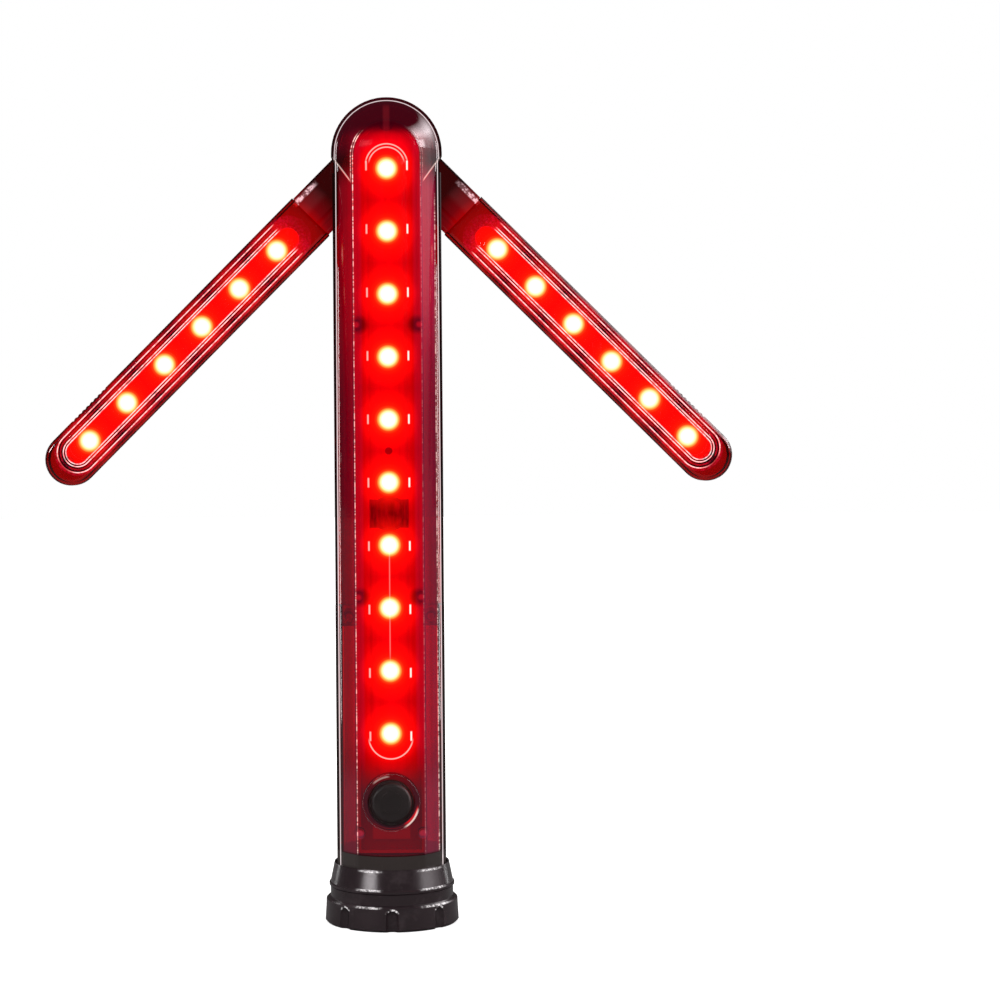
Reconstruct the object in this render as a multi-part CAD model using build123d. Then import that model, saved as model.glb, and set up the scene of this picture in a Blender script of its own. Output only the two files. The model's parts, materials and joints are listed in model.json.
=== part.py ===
"""Traffic baton light with two fold-out arrow arms, modelled as a bench-strippable assembly.

Frame: millimetres, +Z up, front of the baton faces -Y, origin at the centre of the flat foot.
Rest pose: both arms swung out 45 degrees, so that the baton shows an arrow that points up.

The case is a clear red tube of two half shells with a domed top. A chassis slab fills its
middle plane and leaves a slot on each side, in which an arm folds away. The light tray, the
circuit board and the LEDs sit in front of the chassis, and the batteries sit behind the tray.
A black collar holds the foot of the shells, and a fluted cap screws onto it.
"""

from build123d import *
import math
import os

# ---------------------------------------------------------------- driving dimensions
HEIGHT = 328.8            # foot to the top of the dome
SIDE_R = 21.8             # outer radius of the case sides
HELMET_R = 22.2           # outer radius of the domed head, proud of the sides
PANEL_R = 22.4            # outer radius of the raised front panel
WALL = 1.8                # shell wall thickness
SHELL_FOOT = 16.6         # lower end of both shells
SEAM = 0.05               # half the gap between the front and rear shells

ARM_OPEN = 45.0           # degrees between an opened arm and the case
ARM_HALF_WIDTH = 10.4
ARM_FRONT = -4.2          # y of the arm's front face, behind its light rib
ARM_RIB_FRONT = -5.0      # y of the light rib's front
ARM_BACK = 4.9            # y of the arm's back face
ARM_SPLIT = 1.0           # y of the joint between an arm's two covers
ARM_REACH = 163.4         # pivot to the centre of the rounded tip
PIVOT_X = 11.25
PIVOT_Z = 300.5
ARM_LEDGE = (7.0, 38.9, 163.1)      # step round the light rib, as (half width, start, end)
ARM_RIB = (5.4, 40.5, 161.5)        # light rib over the arm's LEDs, likewise
GRIP_COUNT = 9
GRIP_PITCH = 2.2
GRIP_START = 134.0        # pivot to the first thumb nick
KNUCKLE_R = 9.7
KNUCKLE_END = 27.0        # distance from the pivot to where the covers start
SLOT_HALF = 5.4           # half the depth of the arm slot
SLOT_FOOT = 126.0         # lower end of the arm slot
LIP_X = 21.6              # how far the raised lips beside the slot stand out
LIP_HALF = 6.4            # half the depth across both lips
LIP_TOP = 298.0
CHASSIS_HALF = 7.0        # half the depth of the chassis slab
CHASSIS_FOOT = 118.0

LED_COUNT = 10
LED_TOP = 299.0           # z of the first LED
LED_PITCH = 24.8
ARM_LED_COUNT = 6
ARM_LED_START = 46.4      # pivot to the first LED of an arm
ARM_LED_PITCH = 21.3
LED_R = 2.4
LED_HEIGHT = 3.8

LENS_R = 10.0             # radius of the half-round lens bar on the front
LENS_AXIS_Y = -15.0
LENS_WALL = 1.6
PANEL_HALF = 13.6
PANEL_TOP = 317.0

TRAY_HALF = 13.0
TRAY_TOP = 316.4
TRAY_FOOT = 29.0
TRAY_WALL = 1.0
TRAY_PAD_FOOT = 34.2      # raised pad on the tray, below the button
TRAY_PAD_TOP = 40.6
TRAY_FACE = -11.4         # y of the tray floor's front
TRAY_FLOOR = 1.0
TRAY_RIM = -14.2          # y of the rim's front edge
BOARD_FRONT = -9.8
BOARD_THICK = 1.2
BOARD_HALF = 9.9
TRAY_SCREW_X = 12.4
TRAY_SCREW_Z = (237.0, 130.0, 37.0)
WINDOW_Z = LED_TOP - 5.5 * LED_PITCH      # magnet window, midway between two LEDs
PEG_Z = LED_TOP - 4.5 * LED_PITCH         # locating peg, one LED pitch higher

BUTTON_Z = 50.0
BUTTON_R = 8.1
BUTTON_SKIRT_R = 9.1      # radius of the step round the button's top
BUTTON_FRONT = -24.4

TOP_SCREW = (0.0, 317.0)  # case screws, as (x, z): one through the dome, two below the arms
LOW_SCREWS = ((16.2, 121.8), (-16.2, 121.8))
CASE_SCREW_HEAD_Y = 9.0
TOP_SCREW_TIP_Y = -12.6
LOW_SCREW_TIP_Y = -9.3
SCREW_BITE_R = 1.15       # bore that a small screw cuts its thread in

COLLAR_TOP = 23.6
COLLAR_SHOULDER = 16.5    # ledge inside the collar that carries the shells
COLLAR_SKIRT_R = 24.7
SPIGOT_TOP = 28.6         # inner sleeve of the collar, inside the shells
THREAD_PITCH = 2.5
THREAD_CORE_R = 19.5      # male core on the collar
THREAD_BORE_R = 20.5      # female bore in the cap
THREAD_DEPTH = 0.8
CAP_R = 26.7
CAP_NECK_R = 24.5
CAP_TOP = 14.5
CAP_GRIP_TOP = 9.6
CAP_FLOOR = 6.8           # underside of the cap's floor
CAP_FLOOR_TOP = 8.4
CAP_FLUTES = 8
SEAL_R = 22.6

CELL_R = 5.25
CELL_LENGTH = 44.5
CARRIER_R = 11.6
CARRIER_Y = 5.2
CARRIER_FOOT = 19.8
CARRIER_LENGTH = 51.0

DOME_Z = HEIGHT - HELMET_R
LED_FOOT = LED_TOP - (LED_COUNT - 1) * LED_PITCH
INNER_R = SIDE_R - WALL
FAR = 30.0                # beyond the case on every side, for cutters and half spaces
OUT = "parts"


# ---------------------------------------------------------------- shape helpers
def plate(outline, y_front, y_back):
    """Extrudes an outline drawn in (x, z) between two y planes."""
    plane = Plane(origin=(0, y_back, 0), x_dir=(1, 0, 0), z_dir=(0, -1, 0))
    return extrude(plane * outline, amount=y_back - y_front)


def rod(x, z, radius, y_front, y_back):
    """A round bar along Y."""
    return plate(Pos(x, z) * Circle(radius), y_front, y_back)


def disc(radius, z_low, z_high, x=0.0, y=0.0):
    """A round bar along Z."""
    return Pos(x, y, (z_low + z_high) / 2) * Cylinder(radius, z_high - z_low)


def block(x_low, x_high, y_low, y_high, z_low, z_high):
    """A box between two corners."""
    centre = ((x_low + x_high) / 2, (y_low + y_high) / 2, (z_low + z_high) / 2)
    return Pos(*centre) * Box(x_high - x_low, y_high - y_low, z_high - z_low)


def stadium(half_width, low, high):
    """A slot outline along z with round ends that reach low and high."""
    middle = Pos(0, (low + high) / 2) * Rectangle(2 * half_width, high - low - 2 * half_width)
    ends = Pos(0, low + half_width) * Circle(half_width) + Pos(0, high - half_width) * Circle(half_width)
    return middle + ends


def arch(half_width, low, high):
    """An outline along z with a flat foot and a round head."""
    straight = Pos(0, (low + high - half_width) / 2) * Rectangle(2 * half_width, high - half_width - low)
    return straight + Pos(0, high - half_width) * Circle(half_width)


def ring(points):
    """Revolves a closed (radius, z) profile about the Z axis."""
    profile = make_face(Polyline(*points, close=True))
    return revolve(Plane.XZ * profile, Axis.Z)


def case_form(radius, foot=SHELL_FOOT):
    """The solid tube with its domed top, at one radius."""
    return disc(radius, foot, DOME_Z) + Pos(0, 0, DOME_Z) * Sphere(radius)


def lens_form(radius):
    """The solid bar with ball ends that makes the raised lens."""
    bar = disc(radius, LED_FOOT, LED_TOP, y=LENS_AXIS_Y)
    for z in (LED_FOOT, LED_TOP):
        bar += Pos(0, LENS_AXIS_Y, z) * Sphere(radius)
    return bar


def led(y_base):
    """One straw-hat LED about the Y axis, its flange on the board and its dome towards -Y."""
    flange = rod(0, 0, LED_R + 0.3, y_base - 0.7, y_base)
    body = rod(0, 0, LED_R, y_base - LED_HEIGHT + LED_R * 0.7, y_base - 0.7)
    dome = Pos(0, y_base - LED_HEIGHT + LED_R * 0.7, 0) * Sphere(LED_R)
    dome = dome & block(-9, 9, y_base - LED_HEIGHT, y_base - LED_HEIGHT + LED_R * 0.7, -9, 9)
    return flange + body + dome


def screw(x, z, y_head, y_tip, head_r, shank_r, head_height, facing=1):
    """A cross-head screw along Y. facing 1 puts the head at the +Y end."""
    head = rod(0, 0, head_r, 0, head_height)
    head = fillet(head.edges().sort_by(Axis.Y)[-1], head_height * 0.4)
    shank = rod(0, 0, shank_r, -abs(y_head - y_tip), 0)
    cross = plate(Rectangle(head_r * 1.2, 0.5) + Rectangle(0.5, head_r * 1.2), head_height * 0.45, 5)
    whole = head + shank - cross
    if facing < 0:
        whole = Rot(0, 0, 180) * whole
    return Pos(x, y_head, z) * whole


# ---------------------------------------------------------------- case
def slot_outline(stop=10.0, clear=10.1):
    """The (x, z) outline that the arms need: folded, swinging and opened against the stop."""
    reach = 30.0
    lift = stop * math.sqrt(0.5)
    outline = Pos(0, (SLOT_FOOT + PIVOT_Z) / 2) * Rectangle(2 * reach, PIVOT_Z - SLOT_FOOT)
    outline += Pos(0, PIVOT_Z + 3.0) * Rectangle(6.4, 6.2)
    for side in (-1, 1):
        x, z = side * PIVOT_X, PIVOT_Z
        outline += Pos(x, z) * Circle(clear)
        corner = (x + side * lift, z + lift)
        far = (side * reach, z + lift - (reach - PIVOT_X - lift))
        outline += make_face(Polyline((x, z), corner, far, (side * reach, z - 1), (x, z - 1), close=True))
    return outline


def helmet_region():
    """Everything above the two shoulder lines, which slope down towards the middle."""
    slope, inner_x, inner_z = 1.47, 13.0, 291.7
    outer_x = 26.0
    outer_z = inner_z + slope * (outer_x - inner_x)
    points = [(-outer_x, outer_z), (-inner_x, inner_z), (inner_x, inner_z), (outer_x, outer_z)]
    points += [(outer_x, HEIGHT + 5), (-outer_x, HEIGHT + 5)]
    return plate(make_face(Polyline(*points, close=True)), -FAR, FAR)


def case_skin():
    """The hollow case before it is split: sides, slot lips, helmet, front panel and lens bar."""
    outer = case_form(SIDE_R)
    outer += case_form(HELMET_R) & helmet_region()
    lips = block(-LIP_X, LIP_X, -LIP_HALF, LIP_HALF, SLOT_FOOT - LIP_HALF, LIP_TOP)
    outer += chamfer(lips.edges().filter_by(Axis.Z), 0.4)
    outer += case_form(PANEL_R) & plate(arch(PANEL_HALF, SHELL_FOOT, PANEL_TOP), -FAR, 0)
    outer += lens_form(LENS_R)
    inner = case_form(INNER_R, SHELL_FOOT - 1) + lens_form(LENS_R - LENS_WALL)
    return outer - inner


def front_shell(skin):
    shell = skin & block(-FAR, FAR, -FAR, -SEAM, 0, HEIGHT + 5)
    inside = case_form(INNER_R + 0.5)
    for z in TRAY_SCREW_Z:
        for side in (-1, 1):
            pillar = rod(side * TRAY_SCREW_X, z, 1.95, -18, TRAY_FACE - 0.05)
            shell += pillar & inside
    for x, z in (TOP_SCREW, *LOW_SCREWS):
        shell += rod(x, z, 2.5, -20, -CHASSIS_HALF - 0.05) & inside
    collar = rod(0, BUTTON_Z, 11.2, -23.7, -16.6)
    collar = fillet(collar.edges().filter_by(GeomType.CIRCLE).sort_by(Axis.Y)[0], 0.9)
    shell += collar
    shell -= rod(0, BUTTON_Z, BUTTON_SKIRT_R + 0.25, -FAR, -14)
    for z in TRAY_SCREW_Z:
        for side in (-1, 1):
            shell -= rod(side * TRAY_SCREW_X, z, SCREW_BITE_R, -14.8, 0)
    shell -= rod(*TOP_SCREW, 1.35, TOP_SCREW_TIP_Y - 0.4, 0)
    for x, z in LOW_SCREWS:
        shell -= rod(x, z, 1.35, LOW_SCREW_TIP_Y - 0.3, 0)
    shell -= plate(slot_outline(), -SLOT_HALF, 10)
    return shell


def rear_shell(skin):
    shell = skin & block(-FAR, FAR, SEAM, FAR, 0, HEIGHT + 5)
    inside = case_form(INNER_R + 0.5)
    places = (TOP_SCREW, *LOW_SCREWS)
    for x, z in places:
        shell += rod(x, z, 3.6, CHASSIS_HALF + 0.05, 25) & inside
    for x, z in places:
        shell -= rod(x, z, 2.75, CASE_SCREW_HEAD_Y, FAR)
        shell -= rod(x, z, 1.45, 0, CASE_SCREW_HEAD_Y + 1)
    shell -= plate(slot_outline(), -10, SLOT_HALF)
    return shell


def chassis():
    """A slab through the case's middle, with the arm slot cut from side to side."""
    slab = case_form(INNER_R - 0.15, CHASSIS_FOOT)
    slab = slab & block(-FAR, FAR, -CHASSIS_HALF, CHASSIS_HALF, CHASSIS_FOOT, HEIGHT)
    slab -= plate(slot_outline(), -SLOT_HALF, SLOT_HALF)
    for side in (-1, 1):
        slab -= rod(side * PIVOT_X, PIVOT_Z, 2.05, -12, 12)
        slab -= rod(side * 5.2, 288.5, 1.7, -12, 0)
    for x, z in (TOP_SCREW, *LOW_SCREWS):
        slab -= rod(x, z, 1.45, -12, 12)
    for z in (140.0, 190.0, 212.0, 262.0):
        for y_low, y_high in ((-12, -5), (5, 12)):
            slab -= plate(Pos(0, z) * stadium(4.0, -8.0, 8.0), y_low, y_high)
    slab -= block(-9, 9, -3, 3, CHASSIS_FOOT - 1, 124)
    return slab


# ---------------------------------------------------------------- front lighting
def window_outline(margin):
    """The magnet window: a rectangle with a round bulge above and below."""
    return Rectangle(15.0 + 2 * margin, 10.8 + 2 * margin) + Circle(6.9 + margin)


def light_tray():
    floor_back = TRAY_FACE + TRAY_FLOOR
    tray = plate(arch(TRAY_HALF, TRAY_FOOT, TRAY_TOP), TRAY_RIM, floor_back)
    inside = arch(TRAY_HALF - TRAY_WALL, TRAY_FOOT + TRAY_WALL, TRAY_TOP - TRAY_WALL)
    tray -= plate(inside, -FAR, TRAY_FACE)
    for z in TRAY_SCREW_Z:
        for side in (-1, 1):
            tray -= rod(side * TRAY_SCREW_X, z, 2.3, -FAR, TRAY_FACE)
            tray += rod(side * TRAY_SCREW_X, z, 2.5, TRAY_FACE, floor_back)
    for z in TRAY_SCREW_Z:
        for side in (-1, 1):
            tray -= rod(side * TRAY_SCREW_X, z, 1.25, -FAR, 0)
    for i in range(LED_COUNT):
        tray -= rod(0, LED_TOP - i * LED_PITCH, LED_R + 0.45, -FAR, 0)
    tray -= plate(Pos(0, WINDOW_Z) * window_outline(0.25), -FAR, 0)
    tray -= rod(0, PEG_Z, 1.5, -FAR, 0)
    tray -= rod(*TOP_SCREW, 3.1, -FAR, 0)
    tray -= block(-4.0, 4.0, -FAR, 0, BUTTON_Z - 4.0, BUTTON_Z + 4.0)
    tray += block(-7.4, 7.4, TRAY_FACE - 1.2, TRAY_FACE + 0.2, TRAY_PAD_FOOT, TRAY_PAD_TOP)
    return tray & case_form(INNER_R - 0.1)


def main_board():
    back = BOARD_FRONT + BOARD_THICK
    board = plate(arch(BOARD_HALF, TRAY_FOOT + 2.5, 312.0), BOARD_FRONT, back)
    board -= plate(Pos(0, WINDOW_Z) * window_outline(0.25), -FAR, 0)
    board -= rod(0, PEG_Z, 1.5, -FAR, 0)
    for side in (-1, 1):
        board -= rod(side * TRAY_SCREW_X, TRAY_SCREW_Z[2], 3.0, -FAR, 0)
    return board


def row(part, count, x, z, dx, dz):
    """Copies of a part in a straight row, as separate solids in one compound."""
    return Compound(children=[Pos(x + i * dx, 0, z + i * dz) * part for i in range(count)])


def tray_screws():
    screws = []
    for z in TRAY_SCREW_Z:
        for side in (-1, 1):
            screws.append(screw(side * TRAY_SCREW_X, z, TRAY_FACE + TRAY_FLOOR, -14.5, 2.2, 1.1, 1.3))
    return Compound(children=screws)


def case_screws():
    screws = []
    for place, tip in ((TOP_SCREW, TOP_SCREW_TIP_Y), *((place, LOW_SCREW_TIP_Y) for place in LOW_SCREWS)):
        screws.append(screw(*place, CASE_SCREW_HEAD_Y, tip, 2.5, 1.3, 1.6))
    return Compound(children=screws)


def magnet_holder():
    holder = plate(window_outline(0), -11.2, -7.1)
    return Pos(0, 0, WINDOW_Z) * (holder - rod(0, 0, 6.05, -FAR, -7.9))


def latch_magnet():
    magnet = rod(0, WINDOW_Z, 6.0, -10.9, -7.95)
    return chamfer(magnet.edges().filter_by(GeomType.CIRCLE).sort_by(Axis.Y)[0], 0.3)


def locating_peg():
    peg = rod(0, PEG_Z, 1.4, -11.6, -7.05)
    return fillet(peg.edges().filter_by(GeomType.CIRCLE).sort_by(Axis.Y)[0], 0.4)


# ---------------------------------------------------------------- button and switch
def power_button():
    flange_back = -14.9
    button = rod(0, BUTTON_Z, BUTTON_R, BUTTON_FRONT, flange_back)
    button = fillet(button.edges().filter_by(GeomType.CIRCLE).sort_by(Axis.Y)[0], 1.6)
    skirt = rod(0, BUTTON_Z, BUTTON_SKIRT_R, BUTTON_FRONT + 1.5, flange_back)
    button += fillet(skirt.edges().filter_by(GeomType.CIRCLE).sort_by(Axis.Y)[0], 0.5)
    button += rod(0, BUTTON_Z, 10.6, flange_back - 0.9, flange_back)
    arc = Circle(4.5) - Circle(3.8) - Pos(0, 4.2) * Rectangle(3.0, 2.4)
    bar = Pos(0, 3.1) * Rectangle(0.8, 4.2)
    return button + plate(Pos(0, BUTTON_Z) * (arc + bar), BUTTON_FRONT - 0.25, BUTTON_FRONT + 0.5)


def button_gasket():
    return rod(0, BUTTON_Z, 11.0, -16.5, -15.9) - rod(0, BUTTON_Z, BUTTON_SKIRT_R + 0.3, -20, 0)


def switch_body():
    body = block(-3, 3, -13.2, BOARD_FRONT, BUTTON_Z - 3, BUTTON_Z + 3)
    body = chamfer(body.edges().filter_by(Axis.Y), 0.4)
    return body - rod(0, BUTTON_Z, 1.85, -20, -11.0)


def switch_plunger():
    plunger = rod(0, BUTTON_Z, 1.75, -14.35, -11.8)
    return fillet(plunger.edges().filter_by(GeomType.CIRCLE).sort_by(Axis.Y)[0], 0.4)


# ---------------------------------------------------------------- arms, built folded on the +X side
def arm_point(u, s):
    """A point of the folded arm: u outwards from its centre line, s along it from the pivot."""
    return PIVOT_X + u, PIVOT_Z - s


def arm_outline(half_width, start, reach):
    """The (x, z) outline of an arm part: a flat end at start and a round tip about reach."""
    x, z_start = arm_point(0, start)
    z_reach = PIVOT_Z - reach
    straight = Pos(x, (z_start + z_reach) / 2) * Rectangle(2 * half_width, z_start - z_reach)
    return straight + Pos(x, z_reach) * Circle(half_width)


def arm_stadium(half_width, start, end):
    x, z_end = arm_point(0, end)
    return Pos(x, 0) * stadium(half_width, z_end, PIVOT_Z - start)


def arm_rod(u, s, radius, y_front, y_back):
    x, z = arm_point(u, s)
    return rod(x, z, radius, y_front, y_back)


ARM_SCREWS = (36.3, 164.6)
ARM_START = KNUCKLE_END + 0.15


def rounded_cover(y_face, y_joint, radius):
    """One arm cover as a solid, its outer long edges rounded."""
    low, high = min(y_face, y_joint), max(y_face, y_joint)
    cover = plate(arm_outline(ARM_HALF_WIDTH, ARM_START, ARM_REACH), low, high)
    edges = cover.edges().filter_by_position(Axis.Y, y_face - 0.01, y_face + 0.01)
    return fillet(edges, radius)


def arm_grip():
    """Cutters for the shallow nicks on the outer edge, where a thumb pulls the arm out."""
    cutters = arm_rod(ARM_HALF_WIDTH + 0.4, GRIP_START, 0.8, -9, 9)
    for i in range(1, GRIP_COUNT):
        cutters += arm_rod(ARM_HALF_WIDTH + 0.4, GRIP_START + i * GRIP_PITCH, 0.8, -9, 9)
    return cutters


def arm_front():
    cover = rounded_cover(ARM_FRONT, ARM_SPLIT - 0.05, 2.2)
    for outline, front in ((ARM_LEDGE, ARM_FRONT - 0.4), (ARM_RIB, ARM_RIB_FRONT)):
        rib = plate(arm_stadium(*outline), front, ARM_FRONT + 0.1)
        rib_edges = rib.edges().filter_by_position(Axis.Y, front - 0.01, front + 0.01)
        cover += fillet(rib_edges, 0.3)
    cavity = plate(arm_outline(ARM_HALF_WIDTH - 1.3, ARM_START - 1, ARM_REACH), ARM_FRONT + 1.2, 9)
    cavity += plate(arm_stadium(4.3, 41.6, 160.4), ARM_RIB_FRONT + 1.2, ARM_FRONT + 1.3)
    cover -= cavity
    tip = arm_rod(0, ARM_SCREWS[1], 2.4, ARM_FRONT + 0.5, ARM_SPLIT - 0.05)
    root = arm_rod(0, ARM_SCREWS[0], 2.4, ARM_FRONT + 0.5, -2.4)
    cover += tip + root
    for s in ARM_SCREWS:
        cover -= arm_rod(0, s, SCREW_BITE_R, -3.3, 9)
    return cover - arm_grip()


def arm_back():
    cover = rounded_cover(ARM_BACK, ARM_SPLIT + 0.05, 2.2)
    cover -= plate(arm_outline(ARM_HALF_WIDTH - 1.3, ARM_START - 1, ARM_REACH), -9, ARM_BACK - 1.2)
    for s, floor in zip(ARM_SCREWS, (2.45, ARM_SPLIT + 0.05)):
        cover += arm_rod(0, s, 3.2, floor, ARM_BACK - 0.5)
        cover -= arm_rod(0, s, 2.35, 3.5, 9)
        cover -= arm_rod(0, s, 1.25, 0, 9)
    return cover - arm_grip()


def arm_knuckle():
    """The hinge end: an eye round the pin, a flat root and a tongue held between the covers."""
    eye = rod(PIVOT_X, PIVOT_Z, KNUCKLE_R, -5.0, 5.0)
    _, root_z = arm_point(0, KNUCKLE_END)
    root = block(PIVOT_X - KNUCKLE_R, PIVOT_X + KNUCKLE_R, -5.0, 5.0, root_z, PIVOT_Z)
    knuckle = eye + root
    flats = knuckle.faces().sort_by(Axis.Y)
    rim = flats[0].outer_wire().edges() + flats[-1].outer_wire().edges()
    knuckle = fillet([e for e in rim if e.center().Z > root_z + 0.5], 1.0)
    tongue = block(PIVOT_X - 8.6, PIVOT_X + 8.6, -2.3, 2.3, PIVOT_Z - 41.5, root_z)
    knuckle += tongue
    knuckle -= arm_rod(0, ARM_SCREWS[0], 1.25, -9, 9)
    knuckle -= rod(PIVOT_X, PIVOT_Z, 2.05, -9, 9)
    wire_way = block(PIVOT_X - 6.0, PIVOT_X - 3.6, -6, 1.6, PIVOT_Z - 42, PIVOT_Z - 9)
    return knuckle - wire_way


def arm_tray():
    """The red reflector in front of an arm's board, with a hole for each LED."""
    tray = plate(arm_stadium(6.4, 43.0, 160.0), -2.7, -0.7)
    tray -= plate(arm_stadium(5.6, 43.8, 159.2), -9, -1.5)
    for i in range(ARM_LED_COUNT):
        tray -= arm_rod(0, ARM_LED_START + i * ARM_LED_PITCH, LED_R + 0.45, -9, 9)
    return tray


def arm_board():
    _, z_low = arm_point(0, 159.0)
    _, z_high = arm_point(0, 43.0)
    board = block(PIVOT_X - 7.4, PIVOT_X + 7.4, 0.3, 1.3, z_low, z_high)
    return fillet(board.edges().filter_by(Axis.Y), 1.5)


def arm_leds():
    x, z = arm_point(0, ARM_LED_START)
    return row(led(0.3), ARM_LED_COUNT, x, z, 0, -ARM_LED_PITCH)


def arm_screws():
    screws = []
    for s in ARM_SCREWS:
        x, z = arm_point(0, s)
        screws.append(screw(x, z, 3.5, -3.1, 2.2, 1.1, 1.1))
    return Compound(children=screws)


def arm_keeper():
    """A steel strip by the arm's inner edge, which the latch magnet pulls when the arm is folded."""
    x, z = arm_point(-7.85, PIVOT_Z - WINDOW_Z)
    return fillet(block(x - 1.1, x + 1.1, -2.95, -1.75, z - 5, z + 5).edges().filter_by(Axis.Y), 0.5)


def hinge_pin():
    pin = rod(PIVOT_X, PIVOT_Z, 2.0, -8.2, 7.1)
    pin += rod(PIVOT_X, PIVOT_Z, 3.3, 7.1, 8.3)
    pin -= rod(PIVOT_X, PIVOT_Z, 3.0, -7.85, -7.1) - rod(PIVOT_X, PIVOT_Z, 1.5, -9, 0)
    return chamfer(pin.edges().filter_by(GeomType.CIRCLE).sort_by(Axis.Y)[0], 0.3)


def pin_clip():
    clip = rod(PIVOT_X, PIVOT_Z, 3.4, -7.75, -7.15) - rod(PIVOT_X, PIVOT_Z, 1.6, -9, 0)
    return clip - block(PIVOT_X - 1.2, PIVOT_X + 1.2, -9, 0, PIVOT_Z, PIVOT_Z + 5)


def hinge_washers():
    washer = rod(PIVOT_X, PIVOT_Z, 6.5, 5.05, 5.35) - rod(PIVOT_X, PIVOT_Z, 2.15, 0, 9)
    return Compound(children=[washer, mirror(washer, about=Plane.XZ)])


def opened(part):
    """Swings a folded +X part out to the rest pose."""
    return Pos(PIVOT_X, 0, PIVOT_Z) * Rot(0, -ARM_OPEN, 0) * Pos(-PIVOT_X, 0, -PIVOT_Z) * part


# ---------------------------------------------------------------- power
def battery_tube():
    """A clear sleeve, open below, that guides the battery carrier behind the tray."""
    foot, top = SPIGOT_TOP + 0.2, CARRIER_FOOT + CARRIER_LENGTH + 4.0
    tube = disc(CARRIER_R + 1.5, foot, top, y=CARRIER_Y)
    tube -= disc(CARRIER_R + 0.3, foot - 1, top - 1.5, y=CARRIER_Y)
    for side in (-1, 1):
        tube -= disc(1.0, top - 3, top + 1, x=side * 5.5, y=CARRIER_Y)
    return tube


def cell_places():
    spread = (CELL_R + 0.3) / math.cos(math.radians(30))
    return [
        (spread * math.cos(math.radians(a)), CARRIER_Y + spread * math.sin(math.radians(a)))
        for a in (90, 210, 330)
    ]


def battery_carrier():
    """Two end discs and a three-lobed spine, which hold three cells side by side."""
    low, high = CARRIER_FOOT, CARRIER_FOOT + CARRIER_LENGTH
    carrier = disc(CARRIER_R, low + 0.6, low + 2.6, y=CARRIER_Y)
    carrier += disc(CARRIER_R, high - 2.6, high - 0.6, y=CARRIER_Y)
    carrier += disc(CARRIER_R - 2.0, low + 2, high - 2, y=CARRIER_Y)
    for x, y in cell_places():
        carrier -= disc(CELL_R + 0.15, low + 2.6, high - 2.6, x=x, y=y)
    return max(carrier.solids(), key=lambda solid: solid.volume)


def battery_cells():
    low = CARRIER_FOOT + 2.9
    cells = []
    for x, y in cell_places():
        cell = disc(CELL_R, low, low + CELL_LENGTH - 1.0, x=x, y=y)
        cell = fillet(cell.edges().filter_by(GeomType.CIRCLE), 0.5)
        cells.append(cell + disc(1.9, low + CELL_LENGTH - 1.0, low + CELL_LENGTH, x=x, y=y))
    return Compound(children=cells)


def carrier_contacts():
    """The round end contacts of the carrier."""
    low, high = CARRIER_FOOT, CARRIER_FOOT + CARRIER_LENGTH
    bottom = disc(4.0, low, low + 0.6, y=CARRIER_Y)
    top = disc(4.0, high - 0.6, high, y=CARRIER_Y)
    return Compound(children=[bottom, top])


def top_contact():
    """A brass leaf under the roof of the battery tube, which presses on the carrier."""
    roof = CARRIER_FOOT + CARRIER_LENGTH + 2.5
    leaf = block(-7.0, 7.0, CARRIER_Y - 2.5, CARRIER_Y + 2.5, roof - 0.4, roof)
    leaf += disc(2.2, CARRIER_FOOT + CARRIER_LENGTH + 0.02, roof, y=CARRIER_Y)
    return leaf


# ---------------------------------------------------------------- base
def thread_rib(radius, inward, z_low, turns):
    """A right-hand helical rib of trapezoid section, rooted just inside its wall."""
    grow = -1 if inward else 1
    root, crest, bury = 0.5, 0.25, 0.3
    path = Helix(pitch=THREAD_PITCH, height=THREAD_PITCH * turns, radius=radius, center=(0, 0, z_low))
    section = [(radius - grow * bury, z_low - root), (radius + grow * THREAD_DEPTH, z_low - crest)]
    section += [(radius + grow * THREAD_DEPTH, z_low + crest), (radius - grow * bury, z_low + root)]
    profile = Plane.XZ * make_face(Polyline(*section, close=True))
    return sweep(profile, path=path, is_frenet=True)


def base_collar():
    """The black ring that grips the shells' foot and carries the male thread."""
    sleeve_r = INNER_R - 0.15
    skirt_in = PANEL_R + 0.15
    points = [
        (17.0, 9.0), (THREAD_CORE_R, 9.0), (THREAD_CORE_R, CAP_TOP + 0.1),
        (COLLAR_SKIRT_R + 0.3, CAP_TOP + 0.1), (COLLAR_SKIRT_R + 0.3, CAP_TOP + 1.0),
        (COLLAR_SKIRT_R - 0.2, CAP_TOP + 1.4), (skirt_in + 0.35, COLLAR_TOP), (skirt_in, COLLAR_TOP),
        (skirt_in, COLLAR_SHOULDER), (sleeve_r, COLLAR_SHOULDER), (sleeve_r, SPIGOT_TOP),
        (17.0, SPIGOT_TOP),
    ]
    groove = disc(SEAL_R + 0.5, 0, CAP_TOP + 0.95) - disc(SEAL_R - 0.5, -1, CAP_TOP + 2)
    return ring(points) - groove


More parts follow.
